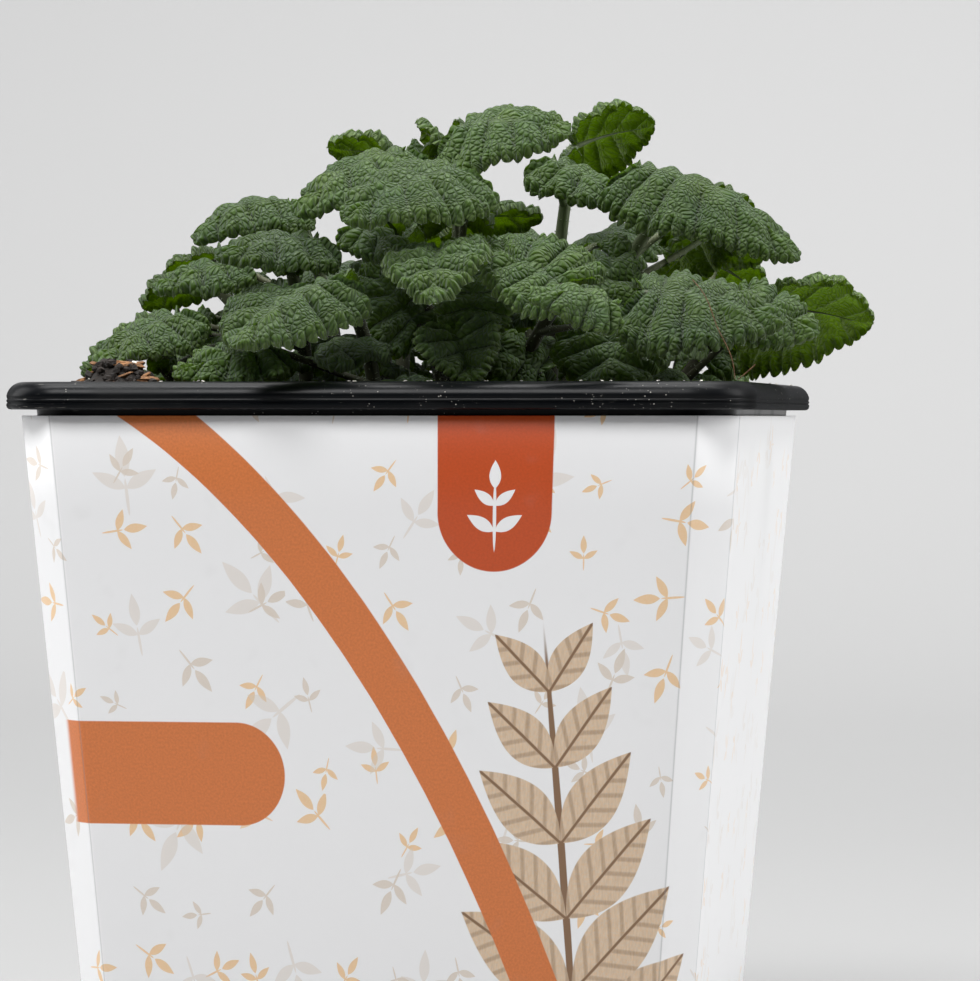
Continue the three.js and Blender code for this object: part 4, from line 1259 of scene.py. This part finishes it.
def top_leaves(stem):
    """Two young leaves that stand up at the top of a stem."""
    tips = []
    for side in (0, 180):
        heading = math.radians(stem.facing + 20 + side)
        out = np.array([math.cos(heading), math.sin(heading), 0])
        base = stem.curve[-1] + 0.4 * out - [0, 0, 0.6]
        face = unit(np.array([0, 0, 0.6]) - out)
        tips.append(Blade(base, base + 3.4 * out + [0, 0, 4.6], face, 0.8, 8, 30, 2))
    return tips


def grow_plant():
    """All stems with their leaves, placed in the same order as the solids were."""
    room, shifts, draw = Room(), make_shifts(), seeded(DRAW_SEED)
    stems = []
    for number, (root, top, extra, facing, spread, leaves) in enumerate(PLAN, start=1):
        ground = soil_height(root[0], root[1])
        top = above_rim(top)
        heights = (ground - STEM_SUNK + FIT_GAP, ground + 3, ground + 0.5 * (top[2] - ground))
        curve = [np.array([*root, z], float) for z in heights] + [top]
        stem = Stem(number, curve, extra, facing, spread, leaves)
        room.claim(curve_samples(curve, 0.1, 1, 40), number)
        stems.append(stem)
    for stem in stems:
        stem.tips = top_leaves(stem)
        for tip in stem.tips:
            room.claim(blade_samples(tip), stem.number)
    for stem in stems:
        placed = []
        for index, (at, base, tip, face, *shape, size) in enumerate(stem.leaves):
            face = unit(np.array(face, float))
            planned = Blade(above_rim(base), above_rim(tip), face, *shape, index, at, size == "L")
            placed.append(place_leaf(room, shifts, stem, planned, math.inf, False))
        stem.leaves = [leaf for leaf in placed if leaf]
    for stem in stems:
        stem.leaves += grow(room, draw, stem, stem.extra, stem.facing, stem.spread, GROWN)
    draw = seeded(YOUNG_SEED)
    for stem in stems:
        stem.young = grow(room, draw, stem, YOUNG_COUNT, 180, 180, YOUNG)
    return stems


# ---- Fine leaves -----------------------------------------------------------------------
STEM_SEED = 100                 # plus the stem's number
PUFF_PITCH = 2.3                # of the small puffs along a side vein
EDGE_FALL = 1.2                 # how far the very edge turns down
COARSE_COLUMNS = 11             # of a small leaf
TIP_COLUMNS = 6                 # of the young leaves
# How many hairs each part carries.
HAIRS = {"stem": 220, "stalk": 90, "large": 110, "small": 40, "tip": 60}


def blade_relief(settings, share, v, flat_y, pairs, teeth, phase, chord):
    """How far the blade's surface is puffed up: swollen between the side veins, in small
    puffs along them, sunk along the midrib, puffed in the lobes and turned down at the very
    edge."""
    between = np.abs(np.sin(math.pi * pairs * v)) ** 0.8
    swell = np.clip(share / 0.25, 0, 1) * (1 - 0.45 * share)
    relief = settings.puff / MM * (between - 0.55) * swell
    beat = np.sin(math.pi * np.abs(flat_y) / PUFF_PITCH + 1.7 * np.floor(pairs * v) + phase)
    relief += settings.quilt / MM * (beat**2 - 0.5) * between * np.clip(share / 0.2, 0, 1)
    relief -= 0.45 * np.exp(-((flat_y / 0.9) ** 2))
    lobe = np.abs(np.sin(math.pi * teeth * v))
    relief += settings.lobe / MM * (lobe - 0.5) * np.exp(-(((share - 0.86) / 0.13) ** 2))
    relief -= EDGE_FALL * np.clip((share - 0.78) / 0.22, 0, 1) ** 2
    ends = np.clip(np.sin(math.pi * v) / 0.25, 0, 1)
    return relief * ends * min(1, chord / 15)


def add_blade(shell, blade, settings, painted_light, columns, per_tooth, teeth):
    """Adds a closed thin blade. Each ring goes over the upper side from the left edge to the
    right and back along the under side, and the blade thins towards its edge."""
    rows = teeth * per_tooth
    v = (np.arange(1, rows) / rows)[:, None]
    over = np.linspace(1, -1, 2 * columns + 1)
    over = np.sign(over) * np.abs(over) ** 0.85
    across = np.concatenate([over, -over])[None]
    face = np.concatenate([np.ones_like(over), -np.ones_like(over)])[None]
    v, across, face = np.broadcast_arrays(v, across, face)
    side, share = np.where(across < 0, -1, 1), np.abs(across)
    chord = blade_frame(blade)[0]
    flat_y = share * outline_point(blade.width, v)[1] * chord
    pairs = blade.teeth + (1 if blade.large else 0)
    relief = blade_relief(settings, share, v, side * flat_y, pairs, teeth, blade.phase, chord)
    thin = np.clip(1 - share**4 * 0.75, 0, 1) * np.clip(np.sin(math.pi * v) * 6, 0.3, 1)
    lift = face * 0.5 * settings.thickness / MM * thin + relief
    rings, flat_x, flat_y = blade_points(blade, side, share, v, lift, teeth)
    ends = blade_points(blade, np.ones(2), np.zeros(2), np.array([0.0, 1.0]), np.zeros(2))[0]
    flat = np.stack([flat_x, flat_y], axis=-1) * MM
    flat += np.array([0.1 * painted_light, 0.37 * painted_light])     # its own net of creases
    paint = np.stack([share, v * pairs / 10, np.full_like(v, painted_light), (1 - face) / 2], axis=-1)
    shell.tube(rings, ends, flat, paint, BLADE)
    return rings


def add_rod(shell, path, radius, section, reference, paint, finish=WOOD):
    """Adds a rod: a section carried along a path, with one of its axes kept square to a
    reference direction."""
    tangent = unit(np.gradient(path, axis=0))
    across = unit(np.cross(reference, tangent))
    other = np.cross(tangent, across)
    radius = np.broadcast_to(radius, len(path))[:, None, None]
    spokes = section[:, :1] * across[:, None] + section[:, 1:] * other[:, None]
    rings = path[:, None] + radius * spokes
    shell.tube(rings, path[[0, -1]], None, np.broadcast_to(paint, (*rings.shape[:2], 4)), finish)
    return rings


def circle(count, squareness=2.0):
    """A closed section: x and y to this power add up to 1, a circle for 2 and squarer above."""
    turn = np.linspace(0, 2 * math.pi, count, endpoint=False)
    spots = np.column_stack([np.cos(turn), np.sin(turn)])
    reach = (np.abs(spots) ** squareness).sum(axis=1) ** (-1 / squareness)
    return spots * reach[:, None]


def add_stalk(shell, stem, blade, painted_light):
    """Adds a leaf stalk that swells where it leaves the stem, comes up to its blade from below
    and runs on as the raised midrib under it, thinning to nothing."""
    chord, forward, _, left = blade_frame(blade)
    start, _, end = stalk_curve(stem, blade)
    span = math.sqrt((end - start) @ (end - start))
    agreement = min(1, max(0, forward @ (end - start) / span))
    behind = 0.35 * span * agreement * forward * [1, 1, 0]
    curve = [start, blade.base - behind - [0, 0, 0.12 * span], end]
    free = bezier(curve, np.linspace(0, 0.84, 18))
    v = np.linspace(0.2, 0.9, 10)
    zero = np.zeros_like(v)
    under = blade_points(blade, zero + 1, zero, v, zero - 0.85)[0]
    path = np.concatenate([free, under])
    position = np.linspace(0, 1, len(path))
    radius = 0.56 + 0.4 * np.exp(-position / 0.06)
    radius = radius * np.clip((1 - position) / 0.38, 0.12, 1) * min(1, 0.75 + chord / 80)
    return add_rod(shell, path, radius, circle(10), left, (0.0, 0.0, painted_light, 0.0))


def add_hairs(shell, rng, spots, outward, length, thickness=0.045):
    """Adds fine hairs: slim three-sided spikes that stand off a surface and lean at random."""
    count = len(spots)
    lean = unit(outward + rng.normal(0, 0.45, (count, 3)))
    side = unit(np.cross(lean, rng.normal(0, 1, (count, 3))))
    other = np.cross(lean, side)
    turn = np.radians([0, 120, 240])[None, :, None]
    ring = np.cos(turn) * side[:, None] + np.sin(turn) * other[:, None]
    foot = spots[:, None] + thickness * ring
    head = spots + lean * (length * rng.uniform(0.5, 1.2, (count, 1)))
    points = np.concatenate([foot, head[:, None]], axis=1)
    faces = [np.array([[0, 1, 3], [1, 2, 3], [2, 0, 3], [2, 1, 0]])]
    shell.copies(points, faces, np.tile([0, 0, 0.5, 0], (count, 1)), DOWN)


def hairs_on_rings(shell, rng, rings, count, length):
    """Hairs scattered over the rings of a rod or a blade's edge, pointing away from it."""
    centre = rings.mean(axis=1, keepdims=True)
    row = rng.integers(0, rings.shape[0], count)
    column = rng.integers(0, rings.shape[1], count)
    spots = rings[row, column]
    outward = spots - centre[row, 0]
    good = np.linalg.norm(outward, axis=1) > 0.05
    add_hairs(shell, rng, spots[good], unit(outward[good]), length)


def leaf_painted_light(leaf, rng):
    """How much painted light a leaf gets, from 0 to 1: leaves low in the middle of the bush are the
    darkest, painted shade as if shaded by the leaves above them.
    """
    high = (leaf.base[2] - POT_HEIGHT) / 34
    out = math.hypot(leaf.base[0], leaf.base[1]) / 50
    return min(1, max(0.06, high, out)) * rng.uniform(0.6, 1)


def make_leafy_stem(stem, settings, materials):
    """One leafy stem: a square stem with rounded corners that tapers upwards, its stalks, its
    blades, its small young leaves and the two at its top, with fine hairs."""
    shell = Shell()
    rng = np.random.default_rng(STEM_SEED + stem.number)
    length = settings.hair_length / MM
    path = bezier(stem.curve, np.linspace(0, 1, 30))
    radius = STEM_WIDTH / 2 * (1.02 - 0.25 * np.linspace(0, 1, 30))
    radius[[0, -1]] *= 0.6
    reference = np.array([0.2, 1.0, 0.0])
    rod = add_rod(shell, path, radius, circle(16, 4.5), reference, (0.0, 0.0, 0.5, 1.0))
    hairs_on_rings(shell, rng, rod[6:], HAIRS["stem"], length * 0.8)
    for leaf in stem.leaves:
        painted_light = leaf_painted_light(leaf, rng)
        columns = settings.columns if leaf.large else COARSE_COLUMNS
        teeth = leaf.teeth * (4 if leaf.large else 3)
        rings = add_blade(shell, leaf, settings, painted_light, columns, 5, teeth)
        stalk = add_stalk(shell, stem, leaf, painted_light)
        hairs_on_rings(shell, rng, stalk[2:18], HAIRS["stalk"], length)
        edge, hairs = rings[:, [0, 2 * columns]], HAIRS["large" if leaf.large else "small"]
        hairs_on_rings(shell, rng, edge, hairs, length * 0.55)
    for leaf in stem.young:
        # Young leaves get half the painted light, so deeper painted shade inside the bush.
        painted_light = 0.5 * leaf_painted_light(leaf, rng)
        add_blade(shell, leaf, settings, painted_light, TIP_COLUMNS, 4, leaf.teeth * 2)
        add_stalk(shell, stem, leaf, painted_light)
    for tip in stem.tips:
        rings = add_blade(shell, tip, settings, rng.uniform(0, 1), TIP_COLUMNS, 5, 5)
        hairs_on_rings(shell, rng, rings, HAIRS["tip"], length * 0.6)
    node = f"stem_{stem.number:02d}"
    shell.finish(f"leafy_{node}", materials, "leaf", [node], crease=80)


def blade_material(settings):
    """A downy quilted blade: small puffs with a net of creases round them that is painted darker as
    shade, sunken side veins on its upper side and raised ones underneath, a paler margin that is
    partly painted highlight, painted shade on leaves low in the bush, painted glow on the lighter
    leaves, and light shining through."""
    shader = Shader("leaf blade")
    share, along, painted_light, under = shader.paint()
    x, y = shader.flat_place()
    broad = shader.noise(shader.join(x, y), 0.17, 1)
    warped = shader.join(x + broad * 5, y + broad * 3.4)
    edge = shader.cells(warped, 1.18, "DISTANCE_TO_EDGE", dimensions="2D", jitter=0.85)
    slope = 1 - ((edge / 0.42) & 1.0)
    dome = 1 - slope * slope
    row = (along * 10).math("FRACT")
    side_vein = 1 - shader.fade(0.5 - abs(row - 0.5), 0.0, 0.1 - share * 0.05)
    side_vein = side_vein * shader.fade(share, 0.02, 0.1)
    # The side veins, and painted shade on the slopes of each puff towards its creases.
    crease = side_vein | slope**3 * 0.5
    # The paler margin: partly its own colour, partly painted highlight along the puffed lobes.
    margin = shader.fade(share, 0.84, 1.0)

    upper = shader.mix(crease * 0.72, settings.top, settings.crease)
    upper = shader.mix(margin * 0.65, upper, settings.edge)
    upper = shader.mix(shader.fade(broad, 0.35, 0.7) * 0.35, upper, shade(settings.top, 0.62))
    lower = shader.mix(crease * 0.5, settings.under, settings.edge)
    colour = shader.mix(under, upper, lower)
    # Painted shade: leaves with little painted light are darkened towards a deep green.
    colour = shader.mix((1 - painted_light) * 0.9, colour, shade(settings.top, 0.14))
    # Painted glow: the lighter leaves take on patches of the light-through colour.
    colour = shader.mix(painted_light * broad * 0.35, colour, shade(settings.glow, 0.6))
    height = (dome * 0.8 - side_vein * 0.6) * (1 - under * 2)
    return shader.done(
        0.4 - crease * 0.2, settings.glow, Base_Color=colour, Roughness=0.4 + slope * 0.25,
        Specular_IOR_Level=0.32, Sheen_Weight=0.2, Sheen_Roughness=0.4,
        Sheen_Tint=(0.85, 0.95, 0.88), Normal=shader.bump(height, 0.0006))


AGED_STEM, SOILED_AND_SHADED = linear(0x6A5A48), linear(0x241C12)


def wood_material(settings):
    """Stems and stalks: pale green with darker streaks along them, near the soil a dark brown that
    is partly soil and partly painted shade, with a soft sheen."""
    shader = Shader("green stem")
    place = shader.object_place()
    x, y, z = shader.split(place)
    streak = shader.noise(shader.join(x, y, z * 0.2), 1400, 1)
    broad = shader.noise(place, 70, 1)
    dark = shade(settings.stem, 0.55)
    colour = shader.mix(shader.fade(streak, 0.3, 0.7) * 0.5, settings.stem, dark)
    colour = shader.mix(shader.fade(broad, 0.45, 0.7) * 0.3, colour, AGED_STEM)
    # Darker towards the soil: partly soil-brown, partly painted shade low in the bush.
    low = 1 - shader.fade(z, (POT_HEIGHT + 8) * MM, (POT_HEIGHT + 30) * MM)
    return shader.done(
        Base_Color=shader.mix(low * 0.75, colour, SOILED_AND_SHADED), Roughness=0.6 + streak * 0.15,
        Sheen_Weight=0.15, Sheen_Roughness=0.4, Sheen_Tint=(0.9, 0.95, 0.88),
        Normal=shader.bump(streak, 0.00012, 0.6))


def down_material(settings):
    """Fine hairs that let light through."""
    shader = Shader("down")
    broad = shader.noise(shader.object_place(), 300, 1)
    tint = shader.mix(broad, settings.hair, shade(settings.hair, 0.6))
    return shader.done(0.4, settings.hair, Base_Color=tint, Roughness=0.5)


# ---- Stage -----------------------------------------------------------------------------
CAMERA_PLACE = (0.1233, -0.7365, 0.1143)    # metres
CAMERA_HEADING = (-0.1518, 0.9884)          # x and y of the way it looks
CAMERA_DOWN = 0.942                         # degrees
# The backdrop, in metres: half its width, its near edge, its back, its bend and its height.
SWEEP = {"half": 8.0, "near": -8.0, "back": 1.9, "radius": 1.0, "height": 3.2}


def look(piece, place, direction):
    """Puts a light or the camera at a place, turned to look in a direction."""
    piece.location = place
    piece.rotation_euler = Vector(direction).to_track_quat("-Z", "Y").to_euler()


def make_backdrop(settings):
    """A pale floor that sweeps up into a backdrop, its colour darker on the floor than up the
    backdrop as painted shade.
    """
    near, back, radius = SWEEP["near"], SWEEP["back"], SWEEP["radius"]
    bend = np.radians(np.linspace(0, 90, 16))
    y = np.concatenate([[near], back - radius + radius * np.sin(bend), [back]])
    z = np.concatenate([[0], radius * (1 - np.cos(bend)), [SWEEP["height"]]])
    x = np.array([-SWEEP["half"], SWEEP["half"]])
    points = np.stack(np.broadcast_arrays(x, y[:, None], z[:, None]), axis=-1).reshape(-1, 3)
    corner = np.arange(len(points)).reshape(-1, 2)
    quads = [corner[:-1, 0], corner[:-1, 1], corner[1:, 1], corner[1:, 0]]
    mesh = bpy.data.meshes.new("backdrop")
    mesh.from_pydata(points.tolist(), [], np.stack(quads, axis=-1).tolist())
    mesh.shade_smooth()
    shader = Shader("backdrop paper")
    depth = shader.split(shader.object_place())[1]
    # Painted shade: the floor darker than the backdrop, with a soft change between them.
    colour = shader.mix(shader.fade(depth, 0.4, 1.7), settings.floor, settings.backdrop)
    mesh.materials.append(shader.done(Base_Color=colour, Roughness=0.85))
    link("backdrop", mesh)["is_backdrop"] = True


def make_stage(settings):
    """The backdrop, soft lights at both sides, overhead, in front and for the backdrop, a
    dim room, and the camera."""
    make_backdrop(settings)
    key, pot = settings.key_power, (0, 0, 0.09)
    lights = [
        ("left light", (-1.0, 0.1, 0.5), pot, (0.6, 0.9), key * 0.7),
        ("right light", (1.05, 0.1, 0.5), pot, (0.6, 0.9), key * 1.1),
        ("top light", (-0.1, 0.35, 1.2), (0, 0, 0.1), (0.9, 0.7), settings.top_power),
        ("front light", (-0.35, -1.0, 1.3), (0, 0, 0.08), (0.7, 0.5), settings.fill_power),
        ("backdrop light", (0, -0.1, 2.3), (0, 1.5, 0.35), (2.6, 0.4), settings.back_power),
    ]
    for name, place, target, size, power in lights:
        lamp = bpy.data.lights.new(name, "AREA")
        lamp.shape, lamp.size, lamp.size_y, lamp.energy = "RECTANGLE", *size, power
        look(link(name, lamp), place, Vector(target) - Vector(place))
    scene = bpy.context.scene
    scene.world = bpy.data.worlds.new("soft room")
    scene.world.use_nodes = True
    background = scene.world.node_tree.nodes["Background"].inputs
    background["Color"].default_value = (0.95, 0.97, 1.0, 1)
    background["Strength"].default_value = 0.05
    scene.view_settings.view_transform = "Standard"

    lens = bpy.data.cameras.new("camera")
    lens.lens, lens.sensor_width = settings.lens, 36.0
    lens.clip_start, lens.clip_end = 0.05, 20
    scene.camera = link("camera", lens)
    down = math.radians(CAMERA_DOWN)
    x, y = CAMERA_HEADING
    look(scene.camera, CAMERA_PLACE, (x * math.cos(down), y * math.cos(down), -math.sin(down)))


# ---- Operators and panel ---------------------------------------------------------------
class Maker:
    """What the operators share: each makes its pieces with one group of settings."""

    def execute(self, context):
        self.make(getattr(context.scene, self.group))
        return {"FINISHED"}


class CATNIP_OT_stage(Maker, bpy.types.Operator):
    """Make the floor, the lights and the camera"""

    bl_idname, bl_label, group = "catnip.stage", "Stage", "catnip_stage"
    make = staticmethod(make_stage)


class CATNIP_OT_pot(Maker, bpy.types.Operator):
    """Make the pot with its rolled rim and drain holes"""

    bl_idname, bl_label, group = "catnip.pot", "Pot", "catnip_pot"
    make = staticmethod(make_pot)


class CATNIP_OT_sleeve(Maker, bpy.types.Operator):
    """Make the printed board sleeve"""

    bl_idname, bl_label, group = "catnip.sleeve", "Sleeve", "catnip_sleeve"
    make = staticmethod(make_sleeve)


class CATNIP_OT_soil(Maker, bpy.types.Operator):
    """Make the soil and the loose crumbs on it"""

    bl_idname, bl_label, group = "catnip.soil", "Soil", "catnip_soil"

    def make(self, settings):
        make_soil(settings)
        make_crumbs(settings)


class CATNIP_OT_stems(Maker, bpy.types.Operator):
    """Make the leafy stems"""

    bl_idname, bl_label, group = "catnip.stems", "Leafy stems", "catnip_leaf"

    def make(self, settings):
        materials = [blade_material(settings), wood_material(settings), down_material(settings)]
        for stem in grow_plant():
            make_leafy_stem(stem, settings, materials)


STEPS = (CATNIP_OT_stage, CATNIP_OT_pot, CATNIP_OT_sleeve, CATNIP_OT_soil, CATNIP_OT_stems)


class CATNIP_PT_pieces(bpy.types.Panel):
    """Lists the pieces of the potted plant"""

    bl_idname = "CATNIP_PT_pieces"
    bl_label = "Potted catnip"
    bl_space_type = "VIEW_3D"
    bl_region_type = "UI"
    bl_category = "Catnip"

    def draw(self, context):
        for step in STEPS:
            self.layout.operator(step.bl_idname)
            group = getattr(context.scene, step.group)
            for name in group.__annotations__:
                self.layout.prop(group, name)


GROUPS = {
    "catnip_stage": StageSettings,
    "catnip_pot": PotSettings,
    "catnip_sleeve": SleeveSettings,
    "catnip_soil": SoilSettings,
    "catnip_leaf": LeafSettings,
}
CLASSES = [*GROUPS.values(), *STEPS, CATNIP_PT_pieces]


def register():
    """Registers the classes and puts the settings on the scene."""
    for kind in CLASSES:
        bpy.utils.register_class(kind)
    for name, group in GROUPS.items():
        setattr(bpy.types.Scene, name, PointerProperty(type=group))


def unregister():
    """Takes the settings and the classes away again."""
    for name in GROUPS:
        delattr(bpy.types.Scene, name)
    for kind in reversed(CLASSES):
        bpy.utils.unregister_class(kind)


def main():
    register()
    bpy.ops.catnip.stage()
    bpy.ops.catnip.pot()
    bpy.ops.catnip.sleeve()
    bpy.ops.catnip.soil()
    bpy.ops.catnip.stems()
    boxes = {"cad": cad_box, "visual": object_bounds()}
    {name: [list(corner) for corner in box] for name, box in boxes.items()}


if __name__ == "__main__":
    main()
